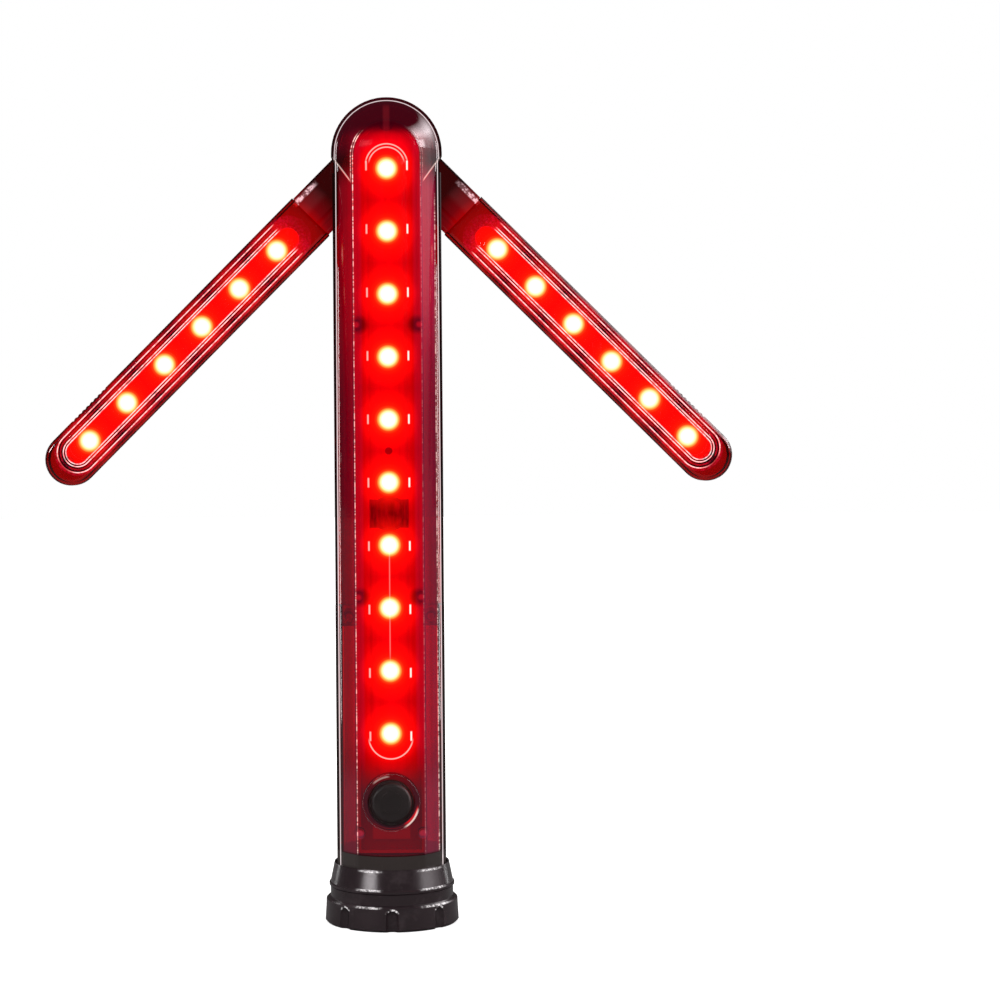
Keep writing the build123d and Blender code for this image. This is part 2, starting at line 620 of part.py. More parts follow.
def base_cap():
    grip_top, lip = CAP_GRIP_TOP, 0.5
    points = [
        (23.0, 0.0), (CAP_R - 0.9, 0.0), (CAP_R, 0.9),
        (CAP_R - 0.5, grip_top - lip), (CAP_R - 1.0, grip_top),
        (CAP_NECK_R, grip_top + 0.4), (CAP_NECK_R, CAP_TOP - 0.4), (CAP_NECK_R - 0.4, CAP_TOP),
        (THREAD_BORE_R, CAP_TOP), (THREAD_BORE_R, CAP_FLOOR_TOP), (0.0, CAP_FLOOR_TOP), (0.0, CAP_FLOOR),
        (19.2, CAP_FLOOR), (19.2, 1.6), (23.0, 1.6),
    ]
    cap = ring(points)
    flute_r, flute_at, flute_top = 2.7, CAP_R + 0.8, 6.0
    for i in range(CAP_FLUTES):
        angle = math.radians(360 * i / CAP_FLUTES - 90)
        x, y = flute_at * math.cos(angle), flute_at * math.sin(angle)
        cap -= disc(flute_r, -1, flute_top, x=x, y=y)
        cap -= Pos(x, y, flute_top) * Sphere(flute_r)
    return cap


def collar_seal():
    """The O-ring in the collar's lower face, which the cap's rim closes on."""
    return Pos(0, 0, CAP_TOP + 0.52) * Torus(SEAL_R, 0.4)


def foot_pad():
    pad = disc(22.8, 0.0, 1.45)
    for radius in (8.0, 13.0, 18.0):
        pad -= disc(radius + 0.5, -1, 0.4) - disc(radius - 0.5, -2, 1)
    return pad


def magnet_yoke():
    return disc(19.0, 5.6, CAP_FLOOR - 0.1)


def base_magnet():
    magnet = disc(18.6, 1.6, 5.5) - disc(4.0, 0, 7)
    return chamfer(magnet.edges().filter_by(GeomType.CIRCLE), 0.3)


def contact_disc():
    """The cap's insulating disc. Its two fins slide in the collar, so that it doesn't turn."""
    low = CAP_FLOOR_TOP + 0.05
    insert = disc(15.8, low, low + 1.4)
    for side in (-1, 1):
        fin = block(side * 16.4 - 1.5, side * 16.4 + 1.5, -1.5, 1.5, low, 18.5)
        insert += fin
    return insert


def contact_spring():
    """The coil that pushes the carrier up, shown at its working height."""
    low, turns, wire = CAP_FLOOR_TOP + 1.45, 4.0, 0.45
    height = CARRIER_FOOT - low - 2 * wire - 0.1
    path = Helix(pitch=height / turns, height=height, radius=3.2, center=(0, 0, 0))
    section = Plane(origin=path @ 0, z_dir=path % 0) * Circle(wire)
    coil = sweep(section, path=path, is_frenet=True)
    return Pos(0, CARRIER_Y, low + wire + 0.05) * coil


def fin_grooves():
    cut = block(-18.3, -15.6, -1.8, 1.8, 8.0, SPIGOT_TOP + 1)
    return cut + block(15.6, 18.3, -1.8, 1.8, 8.0, SPIGOT_TOP + 1)


# ---------------------------------------------------------------- assembly
def build():
    skin = case_skin()
    parts = {
        "front_shell": front_shell(skin),
        "rear_shell": rear_shell(skin),
        "chassis": chassis(),
        "light_tray": light_tray(),
        "main_board": main_board(),
        "main_leds": row(led(BOARD_FRONT), LED_COUNT, 0, LED_TOP, 0, -LED_PITCH),
        "tray_screws": tray_screws(),
        "case_screws": case_screws(),
        "magnet_holder": magnet_holder(),
        "latch_magnet": latch_magnet(),
        "locating_peg": locating_peg(),
        "power_button": power_button(),
        "button_gasket": button_gasket(),
        "switch_body": switch_body(),
        "switch_plunger": switch_plunger(),
        "battery_tube": battery_tube(),
        "battery_carrier": battery_carrier(),
        "battery_cells": battery_cells(),
        "carrier_contacts": carrier_contacts(),
        "top_contact": top_contact(),
        "base_collar": base_collar() + thread_rib(THREAD_CORE_R, False, 10.0, 1.4) - fin_grooves(),
        "collar_seal": collar_seal(),
        "base_cap": base_cap() + thread_rib(THREAD_BORE_R, True, 10.0 + THREAD_PITCH / 2, 0.9),
        "foot_pad": foot_pad(),
        "magnet_yoke": magnet_yoke(),
        "base_magnet": base_magnet(),
        "contact_disc": contact_disc(),
        "contact_spring": contact_spring(),
    }
    swinging = {
        "arm_front": arm_front(),
        "arm_back": arm_back(),
        "arm_knuckle": arm_knuckle(),
        "arm_tray": arm_tray(),
        "arm_board": arm_board(),
        "arm_leds": arm_leds(),
        "arm_screws": arm_screws(),
        "arm_keeper": arm_keeper(),
    }
    fixed = {"hinge_pin": hinge_pin(), "pin_clip": pin_clip(), "hinge_washers": hinge_washers()}
    sides = {name: opened(part) for name, part in swinging.items()} | fixed
    for name, part in sides.items():
        parts["right_" + name] = part
        parts["left_" + name] = mirror(part, about=Plane.YZ)
    return parts


def main():
    os.makedirs(OUT, exist_ok=True)
    for name, part in build().items():
        export_step(part, f"{OUT}/{name}.step")


main()
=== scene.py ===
"""Looks of the traffic baton light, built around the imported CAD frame.

Units are metres and the frame is the CAD's: +Z up, the lit front faces -Y, the foot stands on z = 0.
The CAD nodes keep their shapes and get procedural materials. Small things that the CAD leaves out,
such as solder joints, a chip and two wires, are meshes that ride on its bodies.
"""
import json
import math

import bmesh
import bpy
from mathutils import Matrix, Vector


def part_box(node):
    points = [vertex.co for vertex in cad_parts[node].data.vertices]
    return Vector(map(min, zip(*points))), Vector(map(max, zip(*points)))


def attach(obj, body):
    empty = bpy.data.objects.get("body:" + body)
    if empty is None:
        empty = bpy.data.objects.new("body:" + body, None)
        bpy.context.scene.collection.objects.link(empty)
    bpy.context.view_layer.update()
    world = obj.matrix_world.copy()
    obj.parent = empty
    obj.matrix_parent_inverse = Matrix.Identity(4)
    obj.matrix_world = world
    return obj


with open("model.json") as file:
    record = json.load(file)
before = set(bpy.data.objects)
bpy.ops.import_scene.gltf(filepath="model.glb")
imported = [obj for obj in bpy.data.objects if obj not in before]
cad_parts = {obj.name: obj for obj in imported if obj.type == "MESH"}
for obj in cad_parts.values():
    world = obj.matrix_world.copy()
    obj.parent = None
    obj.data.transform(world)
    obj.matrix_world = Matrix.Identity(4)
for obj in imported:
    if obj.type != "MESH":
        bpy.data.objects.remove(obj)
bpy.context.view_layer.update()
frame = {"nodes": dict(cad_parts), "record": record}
NODES = frame["nodes"]
MM = 0.001

# ---------------- places read from the frame
MAIN_LEDS = 10
ARM_LEDS = 6
LED_FLANGE = 2.7 * MM
LED_TIP = 2.6 * MM


def led_line(node, side):
    """First and last light centre of a node of lights. side 0 is upright, 1 and -1 are the arms."""
    low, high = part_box(node)
    y = high.y
    if side == 0:
        x = (low.x + high.x) / 2
        return Vector((x, y, high.z - LED_FLANGE)), Vector((x, y, low.z + LED_FLANGE))
    near, far = (low.x, high.x) if side > 0 else (high.x, low.x)
    first = Vector((near + side * LED_FLANGE, y, high.z - LED_FLANGE))
    return first, Vector((far - side * LED_FLANGE, y, low.z + LED_FLANGE))


LINES = {
    "main": (*led_line("main_leds", 0), MAIN_LEDS),
    "left": (*led_line("left_arm_leds", -1), ARM_LEDS),
    "right": (*led_line("right_arm_leds", 1), ARM_LEDS),
}
LED_PLANE = {name: line[0].y - LED_TIP for name, line in LINES.items()}


# ---------------- node helpers
class Tree:
    """A material's or a world's node tree with short calls that add and link nodes."""

    def __init__(self, name, library=bpy.data.materials):
        self.owner = library.new(name)
        self.owner.use_nodes = True
        self.tree = self.owner.node_tree
        self.tree.nodes.clear()

    def add(self, kind, *values, **settings):
        """Adds a node. values go to its inputs in order; None leaves an input as it is."""
        node = self.tree.nodes.new("ShaderNode" + kind)
        for key, value in settings.items():
            setattr(node, key, value)
        return self.feed(node, dict(enumerate(values)))

    def feed(self, node, inputs):
        """Links or sets a node's inputs, given by number or name. A colour may leave out its alpha."""
        for key, value in inputs.items():
            if value is None:
                continue
            if isinstance(value, bpy.types.Node):
                value = value.outputs[0]
            if isinstance(value, bpy.types.NodeSocket):
                self.tree.links.new(value, node.inputs[key])
            else:
                is_colour = node.inputs[key].type == "RGBA"
                node.inputs[key].default_value = with_alpha(value) if is_colour else value
        return node

    def math(self, operation, *values):
        return self.add("Math", *values, operation=operation).outputs[0]

    def vector(self, operation, *values):
        node = self.add("VectorMath", *values, operation=operation)
        return node.outputs["Value" if operation in ("DOT_PRODUCT", "LENGTH") else "Vector"]

    def scale(self, direction, amount):
        """A direction, stretched by an amount."""
        node = self.add("VectorMath", direction, operation="SCALE")
        return self.feed(node, {"Scale": amount}).outputs[0]

    def mix(self, factor, a, b):
        """Mixes two colours."""
        node = self.add("Mix", data_type="RGBA")
        return self.feed(node, {0: factor, 6: a, 7: b}).outputs[2]

    def layer(self, *shaders):
        """Adds surfaces or emissions together."""
        total = shaders[0]
        for shader in shaders[1:]:
            total = self.add("AddShader", total, shader)
        return total

    def ramp(self, value, stops, interpolation="LINEAR"):
        """A colour ramp with (position, colour) stops."""
        node = self.add("ValToRGB", value)
        ramp = node.color_ramp
        ramp.interpolation = interpolation
        while len(ramp.elements) < len(stops):
            ramp.elements.new(0.5)
        for element, (position, tone) in zip(ramp.elements, stops):
            element.position = position
            element.color = with_alpha(tone)
        return node.outputs[0]

    def smooth(self, value, low, high):
        """A smooth step from 0 at low to 1 at high. low may be the greater."""
        node = self.add("MapRange", value, low, high, 0.0, 1.0, interpolation_type="SMOOTHSTEP")
        return node.outputs[0]

    def noise(self, scale, detail=3.0, roughness=0.5, stretch=None):
        """Noise at a scale in features per metre, in the object's own coordinates."""
        where = self.object_point()
        if stretch:
            where = self.vector("MULTIPLY", where, stretch)
        return self.add("TexNoise", where, None, scale, detail, roughness).outputs[0]

    def object_point(self):
        return self.add("TexCoord").outputs["Object"]

    def facing(self):
        """0 where the surface faces the viewer and 1 where it is seen edge on."""
        return self.add("LayerWeight", 0.5).outputs["Facing"]

    def bump(self, height, strength, distance):
        inputs = {"Height": height, "Strength": strength, "Distance": distance}
        return self.feed(self.add("Bump"), inputs)

    def principled(self, **inputs):
        """A principled surface; its inputs are given by their names in lower case."""
        shader = self.add("BsdfPrincipled")
        for key, value in inputs.items():
            self.feed(shader, {key.replace("_", " ").title().replace("Ior", "IOR"): value})
        return shader

    def axes(self, point):
        """The x, y and z of a vector."""
        parts = self.add("SeparateXYZ", point)
        return parts.outputs["X"], parts.outputs["Y"], parts.outputs["Z"]

    def times(self, *values):
        """The product of several values."""
        product = values[0]
        for value in values[1:]:
            product = self.math("MULTIPLY", product, value)
        return product

    def plus(self, *values):
        """The sum of several values."""
        total = values[0]
        for value in values[1:]:
            total = self.math("ADD", total, value)
        return total

    def rest(self, share):
        """What a share leaves of 1."""
        return self.math("SUBTRACT", 1.0, share)

    def clamp(self, value, low, high):
        return self.math("MINIMUM", self.math("MAXIMUM", value, low), high)

    def line(self, value, place, half_width):
        """1 where value is at place, falling softly to 0 at half_width from it."""
        gap = self.math("ABSOLUTE", self.math("SUBTRACT", value, place))
        return self.smooth(gap, half_width, half_width * 0.4)

    def band(self, value, low, high, soft):
        """1 between low and high, with soft edges outside them."""
        return self.times(self.smooth(value, low - soft, low), self.smooth(value, high + soft, high))

    def glow(self, share, *layers):
        """The sum of several emissions, each a colour and an amount, all scaled by share."""
        dark = self.add("Emission", (0.0, 0.0, 0.0), 0.0)
        return self.layer(dark, *(self.add("Emission", tone, self.times(amount, share))
                                  for tone, amount in layers))

    def output(self, shader):
        self.feed(self.add("OutputMaterial"), {"Surface": shader})
        return self.owner


def with_alpha(value):
    """A plain RGB tuple becomes RGBA."""
    return (*value, 1.0) if len(value) == 3 else value


def reach_from(t, x, z, centre_x, centre_z):
    """Distance in x and z from a centre."""
    run = t.math("SUBTRACT", x, centre_x)
    rise = t.math("SUBTRACT", z, centre_z)
    return t.math("SQRT", t.plus(t.times(run, run), t.times(rise, rise)))


def azimuth_of(t, x, y):
    """The angle round +Z: 0 towards the camera's side, a quarter turn towards +X. In radians."""
    return t.math("ARCTAN2", x, t.times(y, -1.0))


def light_distance(t, point, line, stretch=(1.0, 0.0, 1.0)):
    """Distance in x and z from a point to the nearest light of a line of lights."""
    first, last, count = line
    pitch = (last - first).length / (count - 1)
    along = tuple((last - first).normalized())
    offset = t.vector("SUBTRACT", point, tuple(first))
    step = t.math("ROUND", t.math("DIVIDE", t.vector("DOT_PRODUCT", offset, along), pitch))
    nearest = t.scale(along, t.times(t.clamp(step, 0.0, count - 1.0), pitch))
    gap = t.vector("SUBTRACT", offset, nearest)
    return t.vector("LENGTH", t.vector("MULTIPLY", gap, stretch))


def light_height(t, z, line):
    """Height difference between a point and the nearest light of the upright line."""
    first, last, count = line
    pitch = (first.z - last.z) / (count - 1)
    step = t.math("ROUND", t.math("DIVIDE", t.math("SUBTRACT", first.z, z), pitch))
    level = t.math("SUBTRACT", first.z, t.times(t.clamp(step, 0.0, count - 1.0), pitch))
    return t.math("ABSOLUTE", t.math("SUBTRACT", z, level))


SHALLOW_SIGHT = -0.15
FULL_SIGHT = -0.35


def seen_point(t, plane_y):
    """The point of the light plane that lies behind a surface point, along the line of sight.

    The second value is 1 where the surface is seen from the front, and 0 from the side or the rear.
    """
    point = t.object_point()
    incoming = t.add("NewGeometry").outputs["Incoming"]
    sight = t.add("VectorTransform", incoming,
                  vector_type="VECTOR", convert_from="WORLD", convert_to="OBJECT")
    depth = t.axes(sight)[1]
    from_front = t.smooth(depth, SHALLOW_SIGHT, FULL_SIGHT)
    run = t.math("SUBTRACT", t.axes(point)[1], plane_y)
    run = t.math("DIVIDE", run, t.math("MINIMUM", depth, SHALLOW_SIGHT))
    return t.vector("SUBTRACT", point, t.scale(sight, run)), from_front


# ---------------- the red mouldings
# How light falls off round a lamp: its glare, its spill in the arms' roots and its spill on the
# reflectors. Stops are (share of the reach, colour).
GLOW_REACH = 12 * MM
GLOW_STRENGTH = 1.3
GLOW_STOPS = (
    (0.00, (1.0, 1.0, 0.90)),
    (0.21, (1.0, 0.98, 0.78)),
    (0.27, (1.0, 0.80, 0.36)),
    (0.33, (1.0, 0.36, 0.06)),
    (0.39, (0.80, 0.04, 0.004)),
    (0.47, (0.50, 0.006, 0.0)),
    (0.62, (0.24, 0.002, 0.0)),
    (1.00, (0.0, 0.0, 0.0)),
)
EMBER_REACH = 40 * MM
EMBER_STOPS = (
    (0.00, (0.8, 0.004, 0.0)),
    (0.42, (0.5, 0.0, 0.0)),
    (0.58, (0.14, 0.0, 0.002)),
    (0.76, (0.0, 0.0, 0.0)),
)
SPILL_REACH = 30 * MM
SPILL_STOPS = (
    (0.00, (1.0, 0.80, 0.40)),
    (0.12, (1.0, 0.20, 0.03)),
    (0.20, (1.0, 0.004, 0.001)),
    (0.34, (0.86, 0.0, 0.0)),
    (0.44, (0.60, 0.0, 0.002)),
    (0.54, (0.24, 0.0, 0.006)),
    (0.72, (0.06, 0.0, 0.008)),
    (1.00, (0.0, 0.0, 0.004)),
)

# Tones of the clear red plastic; FOOT_SHADE_RED and SHADE_RED are painted shade. The last two are for
# the foot, where the black collar is close.
SHELL_TINT = (0.82, 0.008, 0.012)
PLAIN_TINT = (0.74, 0.006, 0.012)
KNUCKLE_TINT = (0.16, 0.0, 0.012)
RIM_RED = (0.34, 0.0, 0.006)
CLOUD_RED = (0.30, 0.0, 0.006)
HAZE_RED = (0.26, 0.0, 0.004)
HEAD_RED = (0.22, 0.0, 0.008)
FOOT_SHADE_RED = (0.16, 0.0, 0.010)
SHADE_RED = (0.16, 0.0, 0.002)
THICK_RED = (0.12, 0.0, 0.004)
EDGE_BLACK = (0.004, 0.0, 0.0)
NECK_TINT = (0.10, 0.02, 0.02)
NECK_HAZE = (0.56, 0.45, 0.43)

# How edge on the shell is where its dark rim starts and ends, and where a painted highlight line runs in
# it.
RIM_START, RIM_END = 0.60, 0.86
RIM_GLINT = 0.66

# Places on the front shell, as distances from its middle.
LENS_EDGE = 8.0 * MM
PANEL_EDGE = 13.6 * MM
PANEL_SIDE_END = 18.5 * MM
RIGHT_LINE_X = 18.9 * MM
LIP_START = 20.7 * MM
SHOULDER_X, SHOULDER_Z, SHOULDER_SLOPE = 13.0 * MM, 291.7 * MM, 1.47

# Heights on the front shell. A pair is a smooth step, from 0 at the first to 1 at the second, and
# CROWN is a band's two ends.
NECK_TOP = 28.7 * MM
ABOVE_NECK = (NECK_TOP, NECK_TOP + MM)
FOOT_DARK = (78.0 * MM, 58.0 * MM)
SIDE_BRIGHTER = (200.0 * MM, 260.0 * MM)
UPPER_EDGE = (262.0 * MM, 285.0 * MM)
RIGHT_LINE_END = (290.0 * MM, 286.0 * MM)
ARCH_START = (292.0 * MM, 300.0 * MM)
SIDE_END = (303.0 * MM, 290.0 * MM)
HEAD_GLOW = (300.0 * MM, 308.0 * MM)
PANEL_ARCH_Z = 303.4 * MM
HEAD_DARK = (311.0 * MM, 315.0 * MM)
ARCH_END = (313.5 * MM, 310.5 * MM)
CROWN = (314.0 * MM, 322.0 * MM)

# The light that the rear shell lets through, as (height in metres, share): the head is thick.
SLOT_FOOT, SLOT_TOP = 118 * MM, 126 * MM
HEAD_FOOT, HEAD_THICK = 290 * MM, 302 * MM
REAR_DEPTH = (
    (0.0, 0.62), (SLOT_FOOT, 0.62), (SLOT_TOP, 0.92), (HEAD_FOOT, 0.92), (HEAD_THICK, 0.30), (1.0, 0.30),
)

# A tray screw's head radius, and the height of the middle pair.
SCREW_HEAD = 2.2 * MM
MIDDLE_SCREWS_Z = 130.0 * MM

# Rims of light round the button, as (direction in x and z, radius, spread, strength).
BUTTON_ARCS = (
    ((0.80, -0.60), 10.7 * MM, 0.88, 0.75),
    ((-0.40, 0.92), 10.4 * MM, 0.93, 0.25),
)

# Radii of the painted highlight arcs round the two ends of the lens bar.
TOP_ARCS = (8.3 * MM, 7.0 * MM)
LOW_ARCS = (8.7 * MM,)

# Steps beside an arm's channel, as distances from the channel's middle. Painted highlight lines and
# painted shade lines run along them.
CHANNEL_PAST_LIGHTS = 6.5 * MM
CHANNEL_EDGE = 4.7 * MM
ARM_SIDE_END = 9.0 * MM
ARM_HIGHLIGHT_LINES = (4.7 * MM, 5.7 * MM, 8.1 * MM)
ARM_SHADE_LINES = (5.2 * MM, 6.25 * MM, 7.5 * MM)


def panel_light(t, line):
    """Light painted into the moulding in front of the main lights: a red glow veil, painted glows and
    fine painted highlights on the edges.
    """
    x, y, z = t.axes(t.object_point())
    off_axis = t.math("ABSOLUTE", x)
    right = t.smooth(x, -MM, MM)
    front = t.smooth(y, -4 * MM, -12 * MM)
    lit = lit_height(t, z, line)
    streaks = t.plus(t.times(t.noise(420, 3.0, 0.6, stretch=(1.0, 1.0, 0.03)), 1.1), 0.45)
    screw_shade, screw_dot = screw_rows(t, off_axis, z)
    unshaded = t.rest(t.times(screw_shade, 0.45))
    middle = t.smooth(off_axis, 17 * MM, 7 * MM)
    # veil: a painted red glow of the lights in the moulding, thinned by painted shade at the screws and
    # the magnet.
    veil = t.times(middle, lit, streaks, magnet_gap(t, off_axis, z), unshaded)
    # side: a painted crimson glow in the bands beside the panel.
    side = t.band(off_axis, PANEL_EDGE, PANEL_SIDE_END, 1.2 * MM)
    side = t.times(side, t.smooth(z, *SIDE_END), streaks, t.smooth(z, *ABOVE_NECK))
    # A faint painted pink glow just inside the panel's edge.
    inner_edge_glow = t.times(t.band(off_axis, 10.8 * MM, PANEL_EDGE, 1.2 * MM), lit, 0.018)
    # edges: painted highlights on the panel's edges, round the button and on the lens bar.
    edges = t.plus(shell_highlights(t, x, z, off_axis), button_arcs(t, x, z))
    edges = t.plus(edges, lens_glints(t, x, z, off_axis, right, line))
    # A painted glow streak down the middle of the crown.
    crown_glow = t.times(t.line(off_axis, 0.0, 1.8 * MM), t.band(z, *CROWN, 3 * MM))
    return t.glow(
        front,
        ((0.21, 0.0, 0.002), veil),
        (side_glow_tone(t, right, z), side),
        ((1.0, 0.08, 0.45), inner_edge_glow),
        ((0.024, 0.009, 0.014), foot_light(t, off_axis, z, line[1])),
        ((0.11, 0.010, 0.024), pillar_light(t, off_axis, z)),
        ((0.075, 0.002, 0.005), screw_dot),
        ((0.055, 0.003, 0.004), crown_glow),
        # A faint painted glow over the head.
        ((0.034, 0.0, 0.004), t.smooth(z, *HEAD_GLOW)),
        ((1.0, 0.76, 0.68), edges),
    )


def lit_height(t, z, line):
    """1 over the height of the column of lights, fading past its ends."""
    first, last, _ = line
    low_end = t.smooth(z, last.z - 24 * MM, last.z)
    return t.times(low_end, t.smooth(z, first.z + 17 * MM, first.z + 7 * MM))


def magnet_gap(t, off_axis, z):
    """Less light, in upright strokes, where the dark magnet shows between two lights."""
    low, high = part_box("magnet_holder")
    strokes = t.smooth(t.noise(480, 2.0, 0.6, stretch=(1.0, 1.0, 0.25)), 0.36, 0.60)
    depth = t.plus(t.times(strokes, -0.60), 0.60)
    upright = t.band(z, low.z + 3 * MM, high.z - 3 * MM, 2 * MM)
    window = t.times(upright, t.smooth(off_axis, 8.8 * MM, 6.8 * MM))
    return t.rest(t.times(window, depth))


def side_glow_tone(t, right, z):
    """Painted glow beside the panel: crimson, brighter towards the head, and cooler on the right."""
    low = t.mix(right, (0.055, 0.0, 0.006), (0.085, 0.004, 0.018))
    high = t.mix(right, (0.15, 0.0, 0.006), (0.22, 0.010, 0.040))
    return t.mix(t.smooth(z, *SIDE_BRIGHTER), low, high)


def foot_light(t, off_axis, z, last):
    """A faint painted glow below the last light."""
    below = t.times(t.smooth(z, last.z - 8 * MM, last.z - 24 * MM), t.smooth(z, *ABOVE_NECK))
    return t.times(below, t.smooth(off_axis, 20 * MM, 18 * MM))


def pillar_light(t, off_axis, z):
    """The lowest pair of clear screw pillars, which catch the light."""
    low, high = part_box("tray_screws")
    reach = reach_from(t, off_axis, z, high.x - SCREW_HEAD, low.z + SCREW_HEAD)
    return t.smooth(reach, 2.1 * MM, 1.2 * MM)


def screw_rows(t, off_axis, z):
    """The two upper pairs of screws: a shade on their inner side, and a dot where the head glows."""
    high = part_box("tray_screws")[1]
    across = high.x - SCREW_HEAD
    shade, dot = 0.0, 0.0
    for row in (high.z - SCREW_HEAD, MIDDLE_SCREWS_Z):
        inner_side = reach_from(t, off_axis, z, across - 1.1 * MM, row)
        shade = t.plus(t.smooth(inner_side, 4.6 * MM, 1.4 * MM), shade)
        dot = t.plus(t.smooth(reach_from(t, off_axis, z, across, row), 1.8 * MM, 0.5 * MM), dot)
    return t.times(shade, t.rest(dot)), dot


def lens_glints(t, x, z, off_axis, right, line):
    """Painted highlights of the lens bar: ticks beside each light, an arc round each end and a glint
    along the mould's parting line.
    """
    first, last, count = line
    beside = t.smooth(light_height(t, z, line), 2.1 * MM, 1.5 * MM)
    ticks = t.times(t.line(off_axis, LENS_EDGE, 0.45 * MM), beside, t.plus(t.times(right, 0.7), 0.6))
    pitch = (first.z - last.z) / (count - 1)
    seam_glint_height = t.band(z, last.z + 1.4 * pitch, last.z + 2.9 * pitch, 8 * MM)
    seam_glint = t.times(t.line(off_axis, 0.0, 0.3 * MM), seam_glint_height)
    arcs = t.plus(lens_arc(t, x, z, first, 1, TOP_ARCS), lens_arc(t, x, z, last, -1, LOW_ARCS))
    return t.plus(ticks, t.times(seam_glint, 0.2), t.times(arcs, 0.62))


def lens_arc(t, x, z, light, end, radii):
    """Painted bright arcs round the last light at one end of the lens bar. end is 1 at the top."""
    reach = reach_from(t, x, z, light.x, light.z)
    rise = t.math("SUBTRACT", z, light.z)
    total = 0.0
    for radius in radii:
        total = t.plus(t.line(reach, radius, 0.34 * MM), total)
    return t.times(total, t.smooth(t.times(rise, end), 0.5 * MM, 3.5 * MM))


def panel_reach(t, off_axis, z):
    """How far a point lies from the middle of the arched front panel; its edge is at PANEL_EDGE."""
    rise = t.math("MAXIMUM", t.math("SUBTRACT", z, PANEL_ARCH_Z), 0.0)
    return t.math("SQRT", t.plus(t.times(off_axis, off_axis), t.times(rise, rise)))


def shell_highlights(t, x, z, off_axis):
    """Painted highlights: bright lines on the edge of the raised panel and along the sloping shoulders
    of the head.
    """
    dots = t.smooth(t.noise(700, 2.0, 0.7, stretch=(0.2, 0.2, 1.0)), 0.44, 0.60)
    broken = t.plus(t.times(dots, 0.60), 0.10)
    panel = panel_reach(t, off_axis, z)
    arch = t.times(t.line(panel, PANEL_EDGE + 0.55 * MM, 0.24 * MM), t.smooth(z, *ARCH_START))
    left = t.plus(t.line(panel, PANEL_EDGE - 0.25 * MM, 0.24 * MM), arch)
    left = t.times(left, t.plus(t.times(t.smooth(z, *UPPER_EDGE), 0.7), 1.0))
    left = t.times(left, t.plus(t.times(t.smooth(x, 0.0, -MM), 0.85), 0.15), t.smooth(z, *ARCH_END))
    right = t.times(t.line(off_axis, RIGHT_LINE_X, 0.30 * MM), t.smooth(x, 0.0, MM),
                    t.smooth(z, *RIGHT_LINE_END))
    lines = t.times(t.plus(left, right), t.smooth(z, *ABOVE_NECK), broken)
    slope_z = t.plus(t.times(t.math("SUBTRACT", off_axis, SHOULDER_X), SHOULDER_SLOPE), SHOULDER_Z)
    shoulder = t.line(t.math("SUBTRACT", z, slope_z), 0.0, 0.55 * MM)
    shoulder = t.times(shoulder, t.smooth(off_axis, SHOULDER_X + MM, SHOULDER_X + 2 * MM))
    return t.plus(lines, t.times(shoulder, 0.5))


def button_arcs(t, x, z):
    """Highlights on the rim round the button."""
    low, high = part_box("power_button")
    middle_z = (low.z + high.z) / 2
    reach = reach_from(t, x, z, 0.0, middle_z)
    rise = t.math("SUBTRACT", z, middle_z)
    total = 0.0
    for direction, radius, spread, strength in BUTTON_ARCS:
        toward = t.plus(t.times(x, direction[0]), t.times(rise, direction[1]))
        share = t.smooth(t.math("DIVIDE", toward, reach), spread, 0.98)
        total = t.plus(t.times(t.line(reach, radius, 0.5 * MM), share, strength), total)
    return total


def clear_red(name, lights=None, tint=SHELL_TINT, depth=None, neck=False, ember=None):
    """Clear red polycarbonate. Its tint deepens towards the rim, and lights behind it bloom through it.

    lights names the line of lights behind it. depth is (height, share) stops that deepen the tint
    where the moulding is thick. neck is for the two shells: the black collar stands close behind
    their foot, a painted highlight line runs in their rim, and their side lips are tinted near
    black as painted shade. ember names lights whose spill it catches.
    """
    t = Tree(name)
    x, _, height = t.axes(t.object_point())
    off_axis = t.math("ABSOLUTE", x)
    facing = t.facing()
    outside = t.rest(t.add("NewGeometry").outputs["Backfacing"])
    # dust is dust on the plastic; it also breaks up the painted rim highlight.
    dust = t.smooth(t.noise(700, 4.0, 0.65, stretch=(1.0, 1.0, 0.12)), 0.58, 0.74)
    tone = clear_tone(t, tint, facing, off_axis, height, depth, lights)
    body_tone = HAZE_RED
    haze_share = t.plus(t.times(dust, 0.03), 0.035)
    if neck:
        in_neck = t.smooth(height, NECK_TOP + 0.3 * MM, NECK_TOP)
        # Painted shade: past LIP_START the side lips are tinted near black, a dark outline at the
        # silhouette.
        tone = t.mix(t.smooth(off_axis, LIP_START, LIP_START + 0.3 * MM), tone, EDGE_BLACK)
        tone = t.mix(in_neck, tone, NECK_TINT)
        body_tone = t.mix(in_neck, body_tone, NECK_HAZE)
        haze_share = t.plus(haze_share, t.times(in_neck, 0.05))
    clear = t.add("BsdfTransparent", tone)
    haze = t.add("MixShader", haze_share, clear, t.add("BsdfDiffuse", body_tone))
    gloss = t.add("BsdfGlossy", (1.0, 0.93, 0.95), t.plus(t.times(dust, 0.22), 0.05))
    t.feed(gloss, {"Normal": t.bump(t.noise(160, 2.0), 0.06, 0.0004)})
    shine = clear_shine(t, facing, outside)
    if lights == "main":
        outside_panel = t.smooth(panel_reach(t, off_axis, height), PANEL_EDGE - MM, PANEL_EDGE)
        shine = t.times(shine, t.plus(t.times(outside_panel, 0.96), 0.04))
    surface = t.add("MixShader", shine, haze, gloss)
    if neck:
        # A painted highlight line inside the dark rim.
        rim_highlight = t.times(t.line(facing, RIM_GLINT, 0.028), outside, t.plus(t.times(dust, 0.5), 0.80))
        surface = t.layer(surface, t.add("Emission", (1.0, 0.86, 0.88), rim_highlight))
    if lights:
        surface = t.layer(surface, bloom(t, lights, outside))
        light_caught = panel_light if lights == "main" else arm_light
        surface = t.layer(surface, light_caught(t, LINES[lights]))
    if ember:
        surface = t.layer(surface, *knuckle_light(t, LINES[ember], outside))
    return t.output(surface)


